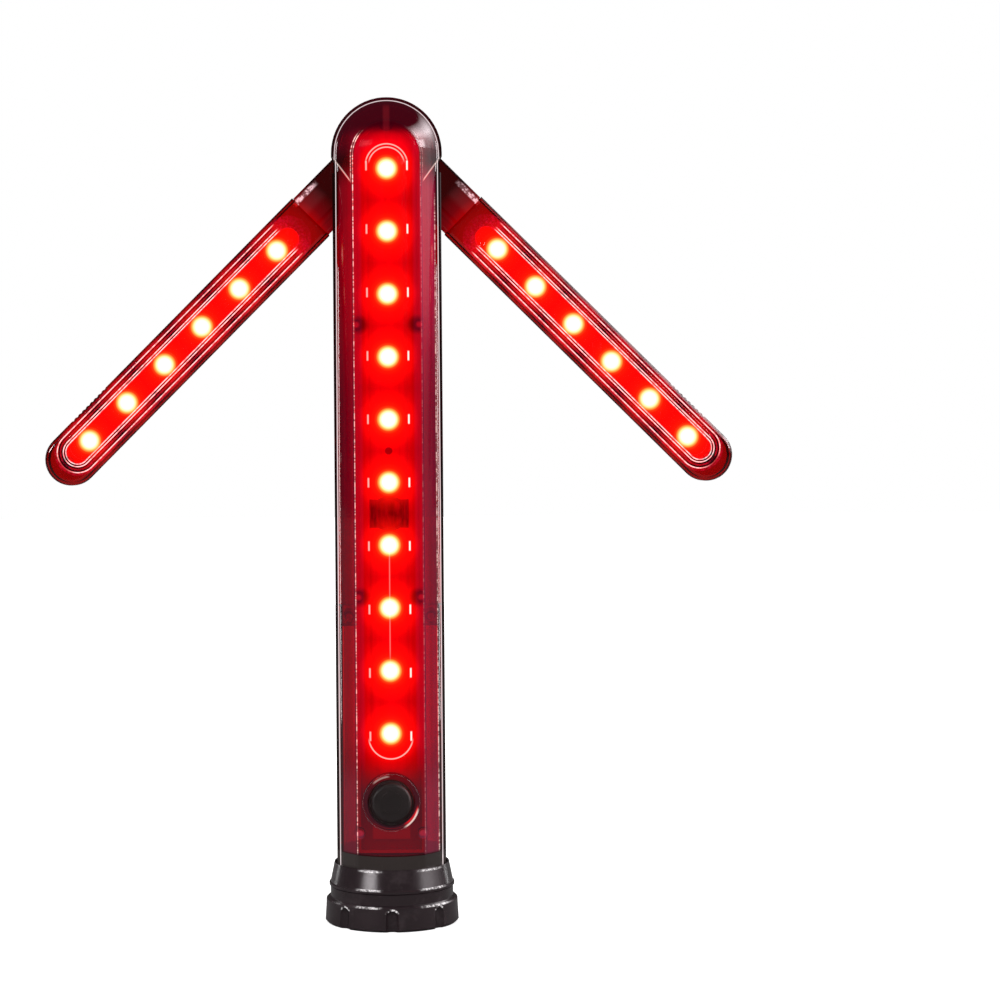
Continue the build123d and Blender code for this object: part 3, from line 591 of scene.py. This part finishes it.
def clear_tone(t, tint, facing, off_axis, height, depth, lights):
    """What light keeps of each colour on its way through the clear red plastic."""
    tone = t.mix(t.times(t.math("POWER", facing, 1.6), 0.75), tint, RIM_RED)
    tone = t.mix(t.times(t.smooth(facing, RIM_START, RIM_END), 0.97), tone, EDGE_BLACK)
    if depth:
        share = t.ramp(height, tuple((z, (value, value, value)) for z, value in depth))
        tone = t.mix(share, THICK_RED, tone)
    tone = t.mix(t.times(t.noise(90, 2.0), 0.12), tone, CLOUD_RED)
    if lights == "main":
        tone = t.mix(t.smooth(height, *HEAD_DARK), tone, HEAD_RED)
        tone = t.mix(t.times(screw_rows(t, off_axis, height)[0], 0.65), tone, SHADE_RED)
        # Painted shade: the sides of the foot are darker, where the lights' glow fades.
        foot = t.times(t.smooth(height, *FOOT_DARK), t.smooth(off_axis, 12 * MM, PANEL_EDGE))
        tone = t.mix(t.times(foot, 0.40), tone, FOOT_SHADE_RED)
    if lights:
        # Painted shade lines: round the front panel on the main shell, beside the channel's steps on an
        # arm.
        step_shade = panel_edge_shade(t) if lights == "main" else arm_step_shade(t, LINES[lights])
        tone = t.mix(t.times(step_shade, 0.97), tone, (0.0, 0.0, 0.0))
    return tone


def clear_shine(t, facing, outside):
    """How much the plastic's surface reflects: more edge on, less inside and on the dark rim."""
    shine = t.plus(t.times(t.math("POWER", facing, 4.0), 0.35), 0.042)
    shine = t.times(shine, t.plus(t.times(outside, 0.85), 0.15))
    return t.times(shine, t.rest(t.times(t.smooth(facing, RIM_START, RIM_END), 0.8)))


def bloom(t, lights, outside):
    """The glare of the lights behind the plastic, along the line of sight."""
    place, from_front = seen_point(t, LED_PLANE[lights])
    reach = t.math("DIVIDE", light_distance(t, place, LINES[lights]), GLOW_REACH)
    return t.add("Emission", t.ramp(reach, GLOW_STOPS), t.times(outside, from_front, GLOW_STRENGTH))


def along_arm(t, line):
    """An arm's direction, a point's offset from its first light, and the run along the arm."""
    first, last, _ = line
    along = (last - first).normalized()
    offset = t.vector("SUBTRACT", t.object_point(), tuple(first))
    return along, offset, t.vector("DOT_PRODUCT", offset, tuple(along))


def knuckle_light(t, line, outside):
    """An arm's dark root: a speckled glint near its upper edge, and the first light's spill."""
    along, offset, run = along_arm(t, line)
    upward = (math.copysign(along.z, along.x), 0.0, abs(along.x))
    rise = t.vector("DOT_PRODUCT", offset, upward)
    patches = t.smooth(t.noise(520, 3.0, 0.7), 0.42, 0.62)
    sharp = t.times(t.line(rise, 7.6 * MM, 1.3 * MM), t.plus(t.times(patches, 0.9), 0.10))
    glint = t.plus(sharp, t.times(t.band(rise, 3.0 * MM, 5.0 * MM, 3.0 * MM), 0.010))
    glint = t.times(glint, outside, t.band(run, -27 * MM, -20 * MM, 4 * MM))
    spill = t.ramp(t.math("DIVIDE", t.vector("LENGTH", offset), EMBER_REACH), EMBER_STOPS)
    return t.add("Emission", (1.0, 0.66, 0.72), glint), t.add("Emission", spill, outside)


def channel_reach(t, line):
    """Distance in x and z from the middle of an arm's channel, which runs past the end lights."""
    first, last, _ = line
    along, offset, run = along_arm(t, line)
    run = t.clamp(run, -CHANNEL_PAST_LIGHTS, (last - first).length + CHANNEL_PAST_LIGHTS)
    gap = t.vector("SUBTRACT", offset, t.scale(tuple(along), run))
    return t.vector("LENGTH", t.vector("MULTIPLY", gap, (1.0, 0.0, 1.0)))


def arm_step_shade(t, line):
    """Painted shade: dark lines beside an arm's channel, where the moulding's steps turn the light away.
    """
    reach = channel_reach(t, line)
    lines = t.plus(*(t.line(reach, radius, 0.36 * MM) for radius in ARM_SHADE_LINES))
    return t.times(lines, t.smooth(along_arm(t, line)[2], -6 * MM, -3 * MM))


def panel_edge_shade(t):
    """Painted shade: the dark line round the raised front panel."""
    x, _, z = t.axes(t.object_point())
    return t.line(panel_reach(t, t.math("ABSOLUTE", x), z), PANEL_EDGE + 0.15 * MM, 0.30 * MM)


def arm_light(t, line):
    """Light painted into an arm: a saturated red glow in the channel, a crimson glow beside it, and
    painted highlights on the step edges.
    """
    first, last, _ = line
    reach = channel_reach(t, line)
    run = along_arm(t, line)[2]
    front = t.smooth(t.axes(t.object_point())[1], 0.0, -3 * MM)
    lit = t.times(front, t.smooth(run, -18.5 * MM, -7 * MM), t.rest(arm_step_shade(t, line)))
    channel = t.smooth(reach, CHANNEL_EDGE, CHANNEL_EDGE - 0.8 * MM)
    # crimson: a painted glow beside the channel.
    crimson = t.band(reach, CHANNEL_EDGE - 0.3 * MM, ARM_SIDE_END, 0.5 * MM)
    speckle = t.plus(t.times(t.smooth(t.noise(1100, 3.0, 0.8), 0.46, 0.58), 0.85), 0.15)
    broken = t.plus(t.times(t.smooth(t.noise(500, 2.0, 0.7), 0.38, 0.54), 0.60), 0.50)
    # edges: painted highlights on the steps' edges.
    edges = t.plus(*(t.line(reach, radius, 0.26 * MM) for radius in ARM_HIGHLIGHT_LINES))
    straight = t.band(run, -4 * MM, (last - first).length + 12 * MM, 3 * MM)
    return t.layer(
        t.add("Emission", (0.70, 0.0, 0.0), t.times(channel, lit)),
        t.add("Emission", (0.20, 0.002, 0.018), t.times(crimson, lit, speckle)),
        t.add("Emission", (1.0, 0.80, 0.78), t.times(edges, broken, front, straight)),
    )


def reflector(name, lights, node):
    """The glossy red reflector, lit by the lights that stand in it."""
    t = Tree(name)
    cloud = t.times(t.math("SUBTRACT", t.noise(150, 3.0, 0.6), 0.5), 3.5 * MM)
    gap = light_distance(t, t.object_point(), LINES[lights], (1.3, 0.0, 1.0))
    spill = t.ramp(t.math("DIVIDE", t.plus(gap, cloud), SPILL_REACH), SPILL_STOPS)
    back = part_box(node)[1].y
    raised = t.smooth(t.axes(t.object_point())[1], back - 1.8 * MM, back - 2.0 * MM)
    spill = t.mix(t.times(raised, 0.12), spill, (1.0, 0.0, 0.05))
    grain = t.noise(1400, 2.0)
    base = t.mix(t.times(t.noise(120), 0.25), (0.44, 0.003, 0.010), (0.30, 0.001, 0.008))
    shader = t.principled(base_color=base, roughness=t.plus(t.times(grain, 0.2), 0.25))
    t.feed(shader, {"Normal": t.bump(grain, 0.15, 0.0001), "Specular IOR Level": 0.2})
    t.feed(shader, {"Emission Color": spill, "Emission Strength": 1.0})
    return t.output(shader)


# ---------------- boards, lights and black parts
def circuit_board(name):
    """Red solder mask over faint copper tracks, with a fine fibre weave."""
    t = Tree(name)
    point = t.object_point()
    tracks = t.add("TexBrick", point, (0.42, 0.02, 0.02), (0.36, 0.012, 0.014), (0.62, 0.10, 0.04))
    t.feed(tracks, {"Scale": 260.0, "Mortar Size": 0.012, "Mortar Smooth": 0.2})
    weave = t.add("TexWave", point, 2600.0, 0.6).outputs["Fac"]
    shader = t.principled(base_color=tracks, roughness=0.42)
    t.feed(shader, {"Normal": t.bump(weave, 0.08, 0.00005)})
    return t.output(shader)


def led_resin(name):
    """Clear LED epoxy that glows warm white, hottest in the dome's middle."""
    t = Tree(name)
    core = t.math("POWER", t.rest(t.facing()), 1.5)
    tone = t.mix(core, (1.0, 0.30, 0.06), (1.0, 0.86, 0.58))
    resin = t.principled(base_color=(1.0, 0.85, 0.7), roughness=0.12, ior=1.5)
    return t.output(t.layer(resin, t.add("Emission", tone, t.plus(t.times(core, 5.0), 0.8))))


# Painted reflections of windows in turned edges, as (azimuth, half width) in degrees, and the edges'
# heights.
SPARKLE_WINDOWS = ((-22.0, 15.0), (42.0, 19.0))
COLLAR_EDGES = (22.9 * MM, 15.8 * MM)
CAP_EDGES = (9.3 * MM,)
CAP_FLUTES = 8
FLUTE_TOP = 6.0 * MM
FLUTE_ARCH = 2.7 * MM


def edge_sparkle(t, heights):
    """Painted highlights: broken streaks on turned edges, where the windows would reflect."""
    x, y, z = t.axes(t.object_point())
    azimuth = t.math("DEGREES", azimuth_of(t, x, y))
    windows = t.plus(*(t.line(azimuth, centre, half) for centre, half in SPARKLE_WINDOWS))
    edges = t.plus(*(t.line(z, height, 0.5 * MM) for height in heights))
    dots = t.smooth(t.noise(900, 3.0, 0.7), 0.44, 0.58)
    return t.times(windows, edges, t.plus(t.times(dots, 0.7), 0.12))


def collar_sparkle(t):
    """Painted highlight streaks on the collar's two edges."""
    return edge_sparkle(t, COLLAR_EDGES)


def cap_sparkle(t):
    """Painted highlight streaks on the cap's upper edge and a painted sparkle on the arched top of each
    flute.
    """
    x, y, z = t.axes(t.object_point())
    half_pitch = math.pi / CAP_FLUTES
    turn = t.math("WRAP", azimuth_of(t, x, y), half_pitch, -half_pitch)
    across = t.times(turn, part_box("base_cap")[1].x)
    reach = reach_from(t, across, z, 0.0, FLUTE_TOP)
    arch = t.times(t.line(reach, FLUTE_ARCH, 0.5 * MM), t.smooth(z, FLUTE_TOP + MM, FLUTE_TOP + 2 * MM))
    dots = t.smooth(t.noise(1000, 3.0, 0.7), 0.48, 0.60)
    return t.plus(edge_sparkle(t, CAP_EDGES), t.times(arch, dots, 0.8))


def black_plastic(name, sparkle=None):
    """Black moulded ABS with a fine spark-eroded grain and rubbed high spots. sparkle, if given, adds
    painted highlights.
    """
    t = Tree(name)
    grain = t.noise(2600, 3.0, 0.6)
    rub = t.smooth(t.noise(75, 4.0, 0.6), 0.52, 0.74)
    base = t.mix(rub, (0.027, 0.017, 0.020), (0.052, 0.037, 0.041))
    roughness = t.plus(t.times(grain, 0.18), t.times(rub, -0.08), 0.13)
    shader = t.principled(base_color=base, roughness=roughness)
    t.feed(shader, {"Normal": t.bump(grain, 0.22, 0.00006)})
    if sparkle:
        shader = t.layer(shader, t.add("Emission", (1.0, 0.96, 0.97), sparkle(t)))
    return t.output(shader)


def black_rubber(name, tint=(1.0, 1.0, 1.0)):
    """Soft matt rubber with a dusty bloom."""
    t = Tree(name)
    grain = t.noise(3200, 4.0, 0.7)
    dust = t.smooth(t.noise(55, 5.0, 0.65), 0.45, 0.8)
    dark, pale = (tuple(level * share for share in tint) for level in (0.010, 0.033))
    roughness = t.plus(t.times(grain, 0.15), 0.52)
    shader = t.principled(base_color=t.mix(dust, dark, pale), roughness=roughness)
    t.feed(shader, {"Normal": t.bump(grain, 0.3, 0.00008)})
    return t.output(shader)


# ---------------- metals and small mouldings
def metal(name, base, roughness, stretch, streak=0.2):
    """Metal with fine machining lines; stretch squeezes the noise along the lines."""
    t = Tree(name)
    lines = t.noise(900, 4.0, 0.6, stretch=stretch)
    stain = t.smooth(t.noise(120, 4.0), 0.5, 0.8)
    tone = t.mix(t.times(stain, 0.6), base, darker(base, 0.6))
    rough = t.plus(t.times(lines, streak), roughness)
    shader = t.principled(base_color=tone, metallic=1.0, roughness=rough)
    t.feed(shader, {"Normal": t.bump(lines, 0.12, 0.00004)})
    return t.output(shader)


def plain_plastic(name, base, roughness):
    """A small light-coloured moulding with slight shading and grain."""
    t = Tree(name)
    cloud = t.noise(200, 3.0)
    tone = t.mix(cloud, base, darker(base, 0.82))
    shader = t.principled(base_color=tone, roughness=t.plus(t.times(cloud, 0.2), roughness))
    t.feed(shader, {"Normal": t.bump(t.noise(1800), 0.1, 0.00005)})
    return t.output(shader)


def solder(name):
    """Bright solder with a frosty skin and a brown flux stain."""
    t = Tree(name)
    frost = t.noise(2200, 3.0)
    stain = t.smooth(t.noise(500, 3.0), 0.55, 0.75)
    tone = t.mix(stain, (0.66, 0.66, 0.68), (0.42, 0.34, 0.24))
    shader = t.principled(base_color=tone, metallic=1.0, roughness=t.plus(t.times(frost, 0.25), 0.16))
    t.feed(shader, {"Normal": t.bump(frost, 0.2, 0.00004)})
    return t.output(shader)


def wire_skin(name, base):
    """The slightly waxy PVC skin of a wire."""
    t = Tree(name)
    cloud = t.noise(300, 3.0)
    tone = t.mix(cloud, base, darker(base, 0.7))
    shader = t.principled(base_color=tone, roughness=t.plus(t.times(cloud, 0.15), 0.36))
    t.feed(shader, {"Normal": t.bump(t.noise(1500), 0.12, 0.00005)})
    return t.output(shader)


def darker(base, share):
    """A colour with each channel scaled by a share."""
    return tuple(channel * share for channel in base)


# The wrap's bands, as (share of the cell's height where the band starts, colour).
CELL_BANDS = (
    (0.0, (0.55, 0.55, 0.56)),
    (0.03, (0.015, 0.02, 0.03)),
    (0.62, (0.62, 0.62, 0.60)),
    (0.65, (0.03, 0.16, 0.10)),
    (0.94, (0.60, 0.60, 0.61)),
)


def cell_wrap(name):
    """The shrink wrap of a cell: a dark lower part, a pale ring and a green upper part, no markings."""
    t = Tree(name)
    low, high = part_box("battery_cells")
    height = t.axes(t.object_point())[2]
    share = t.math("DIVIDE", t.math("SUBTRACT", height, low.z), high.z - low.z)
    tone = t.ramp(share, CELL_BANDS, "CONSTANT")
    roughness = t.plus(t.times(t.noise(400), 0.2), 0.2)
    return t.output(t.principled(base_color=tone, metallic=0.55, roughness=roughness))


# ---------------- which piece wears what
MATERIALS = {
    "clear_red": clear_red("clear_red", tint=PLAIN_TINT),
    "reflector_red": reflector("reflector_red_main", "main", "light_tray"),
    "board_red": circuit_board("board_red"),
    "led_resin": led_resin("led_resin"),
    "screw_steel": metal("screw_steel", (0.56, 0.56, 0.58), 0.25, (1.0, 8.0, 1.0)),
    "yoke_steel": metal("yoke_steel", (0.42, 0.42, 0.43), 0.32, (1.0, 1.0, 8.0)),
    "spring_steel": metal("spring_steel", (0.62, 0.62, 0.64), 0.18, (1.0, 1.0, 6.0)),
    "magnet_plating": metal("magnet_plating", (0.50, 0.49, 0.48), 0.14, (1.0, 1.0, 1.0), 0.1),
    "contact_brass": metal("contact_brass", (0.78, 0.58, 0.26), 0.22, (6.0, 1.0, 1.0)),
    "black_plastic": black_plastic("black_plastic"),
    "black_rubber": black_rubber("black_rubber"),
    "switch_white": plain_plastic("switch_white", (0.80, 0.79, 0.75), 0.35),
    "washer_nylon": plain_plastic("washer_nylon", (0.72, 0.71, 0.66), 0.30),
    "cell_wrap": cell_wrap("cell_wrap"),
}
SPECIAL = {
    "front_shell": clear_red("clear_red_front", "main", neck=True),
    "rear_shell": clear_red("clear_red_rear", neck=True, depth=REAR_DEPTH),
    "power_button": black_rubber("button_rubber", (1.0, 0.45, 0.45)),
    "base_collar": black_plastic("collar_plastic", collar_sparkle),
    "base_cap": black_plastic("cap_plastic", cap_sparkle),
}
for arm in ("left", "right"):
    SPECIAL[f"{arm}_arm_knuckle"] = clear_red(f"clear_red_{arm}_knuckle", tint=KNUCKLE_TINT, ember=arm)
    SPECIAL[f"{arm}_arm_front"] = clear_red(f"clear_red_{arm}", arm)
    SPECIAL[f"{arm}_arm_tray"] = reflector(f"reflector_red_{arm}", arm, f"{arm}_arm_tray")
SOLDER = solder("solder")
WIRE_SKINS = {
    "red": wire_skin("wire_red", (0.55, 0.01, 0.01)),
    "black": wire_skin("wire_black", (0.012, 0.012, 0.013)),
}
BEVELLED = (
    "base_cap", "base_collar", "power_button", "foot_pad", "left_arm_knuckle", "right_arm_knuckle",
)


def paint(piece, material):
    """Gives every slot of a piece one material."""
    if not piece.data.materials:
        piece.data.materials.append(material)
    for index in range(len(piece.data.materials)):
        piece.data.materials[index] = material


def soften_edges(piece):
    """A fine bevel, so that the moulded edges catch the light."""
    bevel = piece.modifiers.new("edges", "BEVEL")
    bevel.width = 0.22 * MM
    bevel.segments = 2
    bevel.limit_method = "ANGLE"
    bevel.angle_limit = math.radians(35)
    bevel.harden_normals = True


for entry in frame["record"]["subparts"]:
    node = entry["node"]
    paint(NODES[node], SPECIAL.get(node, MATERIALS[entry["material_slot"]]))
for node in BEVELLED:
    soften_edges(NODES[node])


# ---------------- small pieces the CAD leaves out
LEAD_PITCH = 2.54 * MM

# Turned solder forms, as (radius, distance out from the board) in millimetres.
LEAD_JOINT = (
    (0, -0.02), (0.95, -0.02), (0.95, 0.05), (0.62, 0.28),
    (0.38, 0.72), (0.27, 0.80), (0.25, 1.15), (0, 1.18),
)
WIRE_JOINT = ((0, -0.02), (1.3, -0.02), (1.3, 0.05), (0.8, 0.5), (0.5, 1.0), (0, 1.05))

# Gaps between the main lights that hold no resistor: the peg, the magnet and the chip are near.
MAIN_GAPS = (4, 5, 8)

CHIP_Z = 88.0 * MM
CHIP_SIZE = (3.9 * MM, 1.3 * MM, 4.9 * MM)
CHIP_LEG_PITCH = 1.27 * MM

WIRE_RADIUS = 0.65 * MM
WIRE_START = (6.5 * MM, 98.0 * MM)
WIRE_TURN = Vector((7.5 * MM, 0.3 * MM, 93.0 * MM))
WIRE_END_X = 5.5 * MM
WIRE_IN_TUBE = 1.2 * MM
CURVE_STEPS = 8


def finish_piece(name, shape, material, body):
    """Turns a bmesh into a smooth-shaded object with one material, which rides on a body."""
    bmesh.ops.recalc_face_normals(shape, faces=shape.faces)
    mesh = bpy.data.meshes.new(name)
    shape.to_mesh(mesh)
    shape.free()
    mesh.shade_smooth()
    mesh.set_sharp_from_angle(angle=math.radians(40))
    mesh.materials.append(material)
    piece = bpy.data.objects.new(name, mesh)
    bpy.context.scene.collection.objects.link(piece)
    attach(piece, body)


def round_angles(steps):
    return [2 * math.pi * step / steps for step in range(steps)]


def bridge(shape, rings, steps):
    """Joins rings of vertices with faces. A ring may be a single vertex on the axis."""
    for near, far in zip(rings, rings[1:]):
        for step in range(steps):
            after = (step + 1) % steps
            corners = [near[step % len(near)], near[after % len(near)]]
            corners += [far[after % len(far)], far[step % len(far)]]
            shape.faces.new(list(dict.fromkeys(corners)))


def turned(shape, centre, profile, steps=14):
    """Adds a form turned about the Y axis. profile is (radius, offset along Y) in millimetres."""
    rings = []
    for radius, offset in profile:
        if radius == 0:
            rings.append([shape.verts.new(centre + Vector((0.0, offset * MM, 0.0)))])
            continue
        corners = [Vector((radius * MM * math.cos(a), offset * MM, radius * MM * math.sin(a)))
                   for a in round_angles(steps)]
        rings.append([shape.verts.new(centre + corner) for corner in corners])
    bridge(shape, rings, steps)


def slab(shape, centre, size, bevel, turn=0.0):
    """Adds a box with bevelled edges, turned about the Y axis."""
    made = bmesh.ops.create_cube(shape, size=1.0)["verts"]
    matrix = Matrix.Translation(centre) @ Matrix.Rotation(turn, 4, "Y") @ Matrix.Diagonal((*size, 1.0))
    bmesh.ops.transform(shape, matrix=matrix, verts=made)
    edges = list({edge for vert in made for edge in vert.link_edges})
    bmesh.ops.bevel(shape, geom=edges, offset=bevel, segments=2, affect="EDGES")


def smooth_path(points):
    """A smooth curve through the points, as a list of close points."""
    path = []
    padded = [2 * points[0] - points[1], *points, 2 * points[-1] - points[-2]]
    for a, b, c, d in zip(padded, padded[1:], padded[2:], padded[3:]):
        for step in range(CURVE_STEPS):
            u = step / CURVE_STEPS
            path.append(0.5 * (2 * b + (c - a) * u + (2 * a - 5 * b + 4 * c - d) * u * u
                               + (3 * b - a - 3 * c + d) * u * u * u))
    path.append(points[-1])
    return path


def tube(shape, points, radius, steps=10):
    """Adds a round tube that follows a smooth curve through the points."""
    path = smooth_path(points)
    normal = (path[1] - path[0]).orthogonal().normalized()
    rings = []
    for index, point in enumerate(path):
        ahead = (path[min(index + 1, len(path) - 1)] - path[max(index - 1, 0)]).normalized()
        normal = (normal - ahead * normal.dot(ahead)).normalized()
        side = ahead.cross(normal)
        corners = [radius * (math.cos(a) * normal + math.sin(a) * side) for a in round_angles(steps)]
        rings.append([shape.verts.new(point + corner) for corner in corners])
    bridge(shape, rings, steps)
    shape.faces.new(list(reversed(rings[0])))
    shape.faces.new(rings[-1])


def light_places(lights):
    """The centres of a line of lights, and the directions along it and across it."""
    first, last, count = LINES[lights]
    along = (last - first).normalized()
    across = Vector((-along.z, 0.0, along.x))
    return [first.lerp(last, step / (count - 1)) for step in range(count)], along, across


def solder_joints(lights, board, body):
    """A pair of solder cones with clipped leads behind every light."""
    places, _, across = light_places(lights)
    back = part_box(board)[1].y
    shape = bmesh.new()
    for place in places:
        for side in (-0.5, 0.5):
            centre = place + side * LEAD_PITCH * across
            turned(shape, Vector((centre.x, back, centre.z)), LEAD_JOINT)
    finish_piece(f"{lights}_solder", shape, SOLDER, body)


def resistors(lights, board, body, gaps=()):
    """Chip resistors between the lights, on the back of a board: a dark body with two tinned ends."""
    places, along, across = light_places(lights)
    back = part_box(board)[1].y
    turn = math.atan2(along.x, along.z)
    bodies, ends = bmesh.new(), bmesh.new()
    for index, (near, far) in enumerate(zip(places, places[1:])):
        if index in gaps:
            continue
        centre = (near + far) / 2 + 3.0 * MM * across
        centre.y = back + 0.28 * MM
        slab(bodies, centre, (1.5 * MM, 0.55 * MM, 2.2 * MM), 0.06 * MM, turn)
        for end in (-1, 1):
            tip = centre + end * 1.25 * MM * along
            slab(ends, tip, (1.6 * MM, 0.58 * MM, 0.5 * MM), 0.08 * MM, turn)
    finish_piece(f"{lights}_resistors", bodies, MATERIALS["black_plastic"], body)
    finish_piece(f"{lights}_resistor_ends", ends, SOLDER, body)


def control_chip():
    """An eight-legged control chip on the back of the main board, below the arm slots."""
    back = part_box("main_board")[1].y
    centre = Vector((0.0, back + 0.85 * MM, CHIP_Z))
    body, legs = bmesh.new(), bmesh.new()
    slab(body, centre, CHIP_SIZE, 0.18 * MM)
    # A leg's three straight parts: place across and in depth, then length and thickness.
    leg_parts = (
        (2.15 * MM, centre.y, 0.5 * MM, 0.2 * MM),
        (2.40 * MM, centre.y - 0.40 * MM, 0.2 * MM, 0.9 * MM),
        (2.75 * MM, back + 0.08 * MM, 0.8 * MM, 0.2 * MM),
    )
    for side in (-1, 1):
        for step in (-1.5, -0.5, 0.5, 1.5):
            z = centre.z + step * CHIP_LEG_PITCH
            for x, y, length, thickness in leg_parts:
                slab(legs, Vector((side * x, y, z)), (length, thickness, 0.4 * MM), 0.05 * MM)
    finish_piece("chip_body", body, MATERIALS["black_plastic"], "case")
    finish_piece("chip_legs", legs, SOLDER, "case")


def battery_wire(name, side):
    """A wire that loops from the back of the main board into the top of the battery tube."""
    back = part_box("main_board")[1].y
    low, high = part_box("battery_tube")
    start = Vector((side * WIRE_START[0], back + 0.4 * MM, WIRE_START[1]))
    end = Vector((side * WIRE_END_X, (low.y + high.y) / 2, high.z - WIRE_IN_TUBE))
    points = [
        start,
        start + Vector((0, 3.0 * MM, 1.0 * MM)),
        Vector((side * WIRE_TURN.x, WIRE_TURN.y, WIRE_TURN.z)),
        end + Vector((0.5 * side * MM, 0, 9.0 * MM)),
        end,
    ]
    shape, joint = bmesh.new(), bmesh.new()
    tube(shape, points, WIRE_RADIUS)
    turned(joint, Vector((start.x, back, start.z)), WIRE_JOINT)
    finish_piece(f"battery_wire_{name}", shape, WIRE_SKINS[name], "case")
    finish_piece(f"battery_joint_{name}", joint, SOLDER, "case")


solder_joints("main", "main_board", "case")
resistors("main", "main_board", "case", MAIN_GAPS)
for arm in ("left", "right"):
    solder_joints(arm, f"{arm}_arm_board", f"{arm}_arm")
    resistors(arm, f"{arm}_arm_board", f"{arm}_arm")
control_chip()
battery_wire("black", -1)
battery_wire("red", 1)


# ---------------- studio
FLOOR_HALF = 6.0

# Soft windows in reflections, as azimuth, half width, softness and (elevation, brightness) stops.
# Angles are in degrees; azimuth 0 is the camera's side and 90 is +X.
WINDOWS = (
    (91, 14, 0.3, ((-20, 0.0), (-8, 0.12), (3, 0.2), (4.2, 0.5), (7.5, 0.6), (12, 2.0), (20, 0.0))),
    (94, 34, 0.6, ((3, 0.0), (8, 1.2), (12, 2.0), (20, 6.0), (28, 15.0), (34, 11.0), (46, 0.0))),
    (-44, 12, 0.3, ((11, 0.0), (13, 24.0), (18, 24.0), (21, 0.0))),
    (74, 14, 0.3, ((11, 0.0), (13, 12.0), (18, 12.0), (21, 0.0))),
)
WINDOW_PEAK = 40.0
ROOM_LIGHT = 0.05

CAMERA_DISTANCE = 0.9
CAMERA_HEIGHT = 0.185
CAMERA_ROLL = 0.44
CAMERA_SENSOR = 36.0
CAMERA_LENS = 80.928
CAMERA_SHIFT = (0.1113, -0.043)


def studio_floor():
    """A pale floor that runs far behind the baton, bright to the eye and quiet in reflections."""
    mesh = bpy.data.meshes.new("floor")
    corners = [(x * FLOOR_HALF, y * FLOOR_HALF, 0) for x, y in ((-1, -1), (1, -1), (1, 1), (-1, 1))]
    mesh.from_pydata(corners, [], [(0, 1, 2, 3)])
    mesh.materials.append(floor_paper("floor_paper"))
    floor = bpy.data.objects.new("floor", mesh)
    bpy.context.scene.collection.objects.link(floor)


def floor_paper(name):
    """Faintly clouded white paper, which only the camera sees at full brightness."""
    t = Tree(name)
    tone = t.mix(t.noise(3.0, 2.0), (0.90, 0.90, 0.90), (0.93, 0.93, 0.93))
    paper = t.layer(t.add("BsdfDiffuse", tone), t.add("Emission", (1.0, 1.0, 1.0), 0.62))
    quiet = t.add("BsdfDiffuse", (0.20, 0.20, 0.20))
    seen = t.add("LightPath").outputs["Is Camera Ray"]
    return t.output(t.add("MixShader", seen, quiet, paper))


def softbox(name, azimuth, distance, heights, width, radiance, glossy=True):
    """A vertical soft panel that faces the baton. azimuth is as in WINDOWS."""
    turn = math.radians(azimuth)
    low, high = heights
    lamp = bpy.data.lights.new(name, "AREA")
    lamp.shape = "RECTANGLE"
    lamp.size = width
    lamp.size_y = high - low
    lamp.energy = radiance * math.pi * width * (high - low)
    panel = bpy.data.objects.new(name, lamp)
    panel.location = (distance * math.sin(turn), -distance * math.cos(turn), (low + high) / 2)
    panel.rotation_euler = (math.radians(90), 0.0, turn)
    panel.visible_glossy = glossy
    bpy.context.scene.collection.objects.link(panel)


def window_patch(t, azimuth, elevation, centre, half_width, softness, stops):
    """A soft window in reflections, at a direction given in degrees."""
    across = t.math("ABSOLUTE", t.math("SUBTRACT", azimuth, centre))
    share = t.smooth(across, half_width * (1.0 + softness), half_width * (1.0 - softness))
    height = t.math("DIVIDE", t.plus(elevation, 90.0), 180.0)
    profile = t.ramp(height, tuple(
        ((degrees + 90.0) / 180.0, (value / WINDOW_PEAK,) * 3) for degrees, value in stops))
    return t.times(share, profile, WINDOW_PEAK)


def studio_world():
    """Bright paper for the eye and the floor. Reflections see a dim room with a few soft windows."""
    t = Tree("studio", bpy.data.worlds)
    x, y, z = t.axes(t.add("TexCoord").outputs["Generated"])
    azimuth = t.math("DEGREES", azimuth_of(t, x, y))
    elevation = t.math("DEGREES", t.math("ARCSINE", z))
    patches = [window_patch(t, azimuth, elevation, *window) for window in WINDOWS]
    room = t.add("Background", (1.0, 1.0, 1.0), 1.0)
    reflected = t.add("Background", (1.0, 0.95, 0.97), t.plus(*patches, ROOM_LIGHT))
    seen = t.add("MixShader", t.add("LightPath").outputs["Is Glossy Ray"], room, reflected)
    t.feed(t.add("OutputWorld"), {"Surface": seen})
    bpy.context.scene.world = t.owner


def camera():
    """A level camera a little above the baton's middle, with the frame shifted."""
    data = bpy.data.cameras.new("camera")
    data.sensor_width = CAMERA_SENSOR
    data.lens = CAMERA_LENS
    data.shift_x, data.shift_y = CAMERA_SHIFT
    data.clip_start = 0.01
    view = bpy.data.objects.new("camera", data)
    view.location = (0.0, -CAMERA_DISTANCE, CAMERA_HEIGHT)
    view.rotation_euler = (math.radians(90), math.radians(CAMERA_ROLL), 0.0)
    bpy.context.scene.collection.objects.link(view)
    bpy.context.scene.camera = view


studio_floor()
studio_world()
softbox("rim_left", -128, 0.70, (0.0, 0.50), 0.05, 6.0)
softbox("rim_right", 128, 0.70, (0.0, 0.50), 0.05, 6.0)
softbox("fill", 0, 1.6, (0.2, 1.2), 1.2, 0.8, glossy=False)
camera()
scene = bpy.context.scene
scene.view_settings.view_transform = "Standard"
scene.cycles.transparent_max_bounces = 32
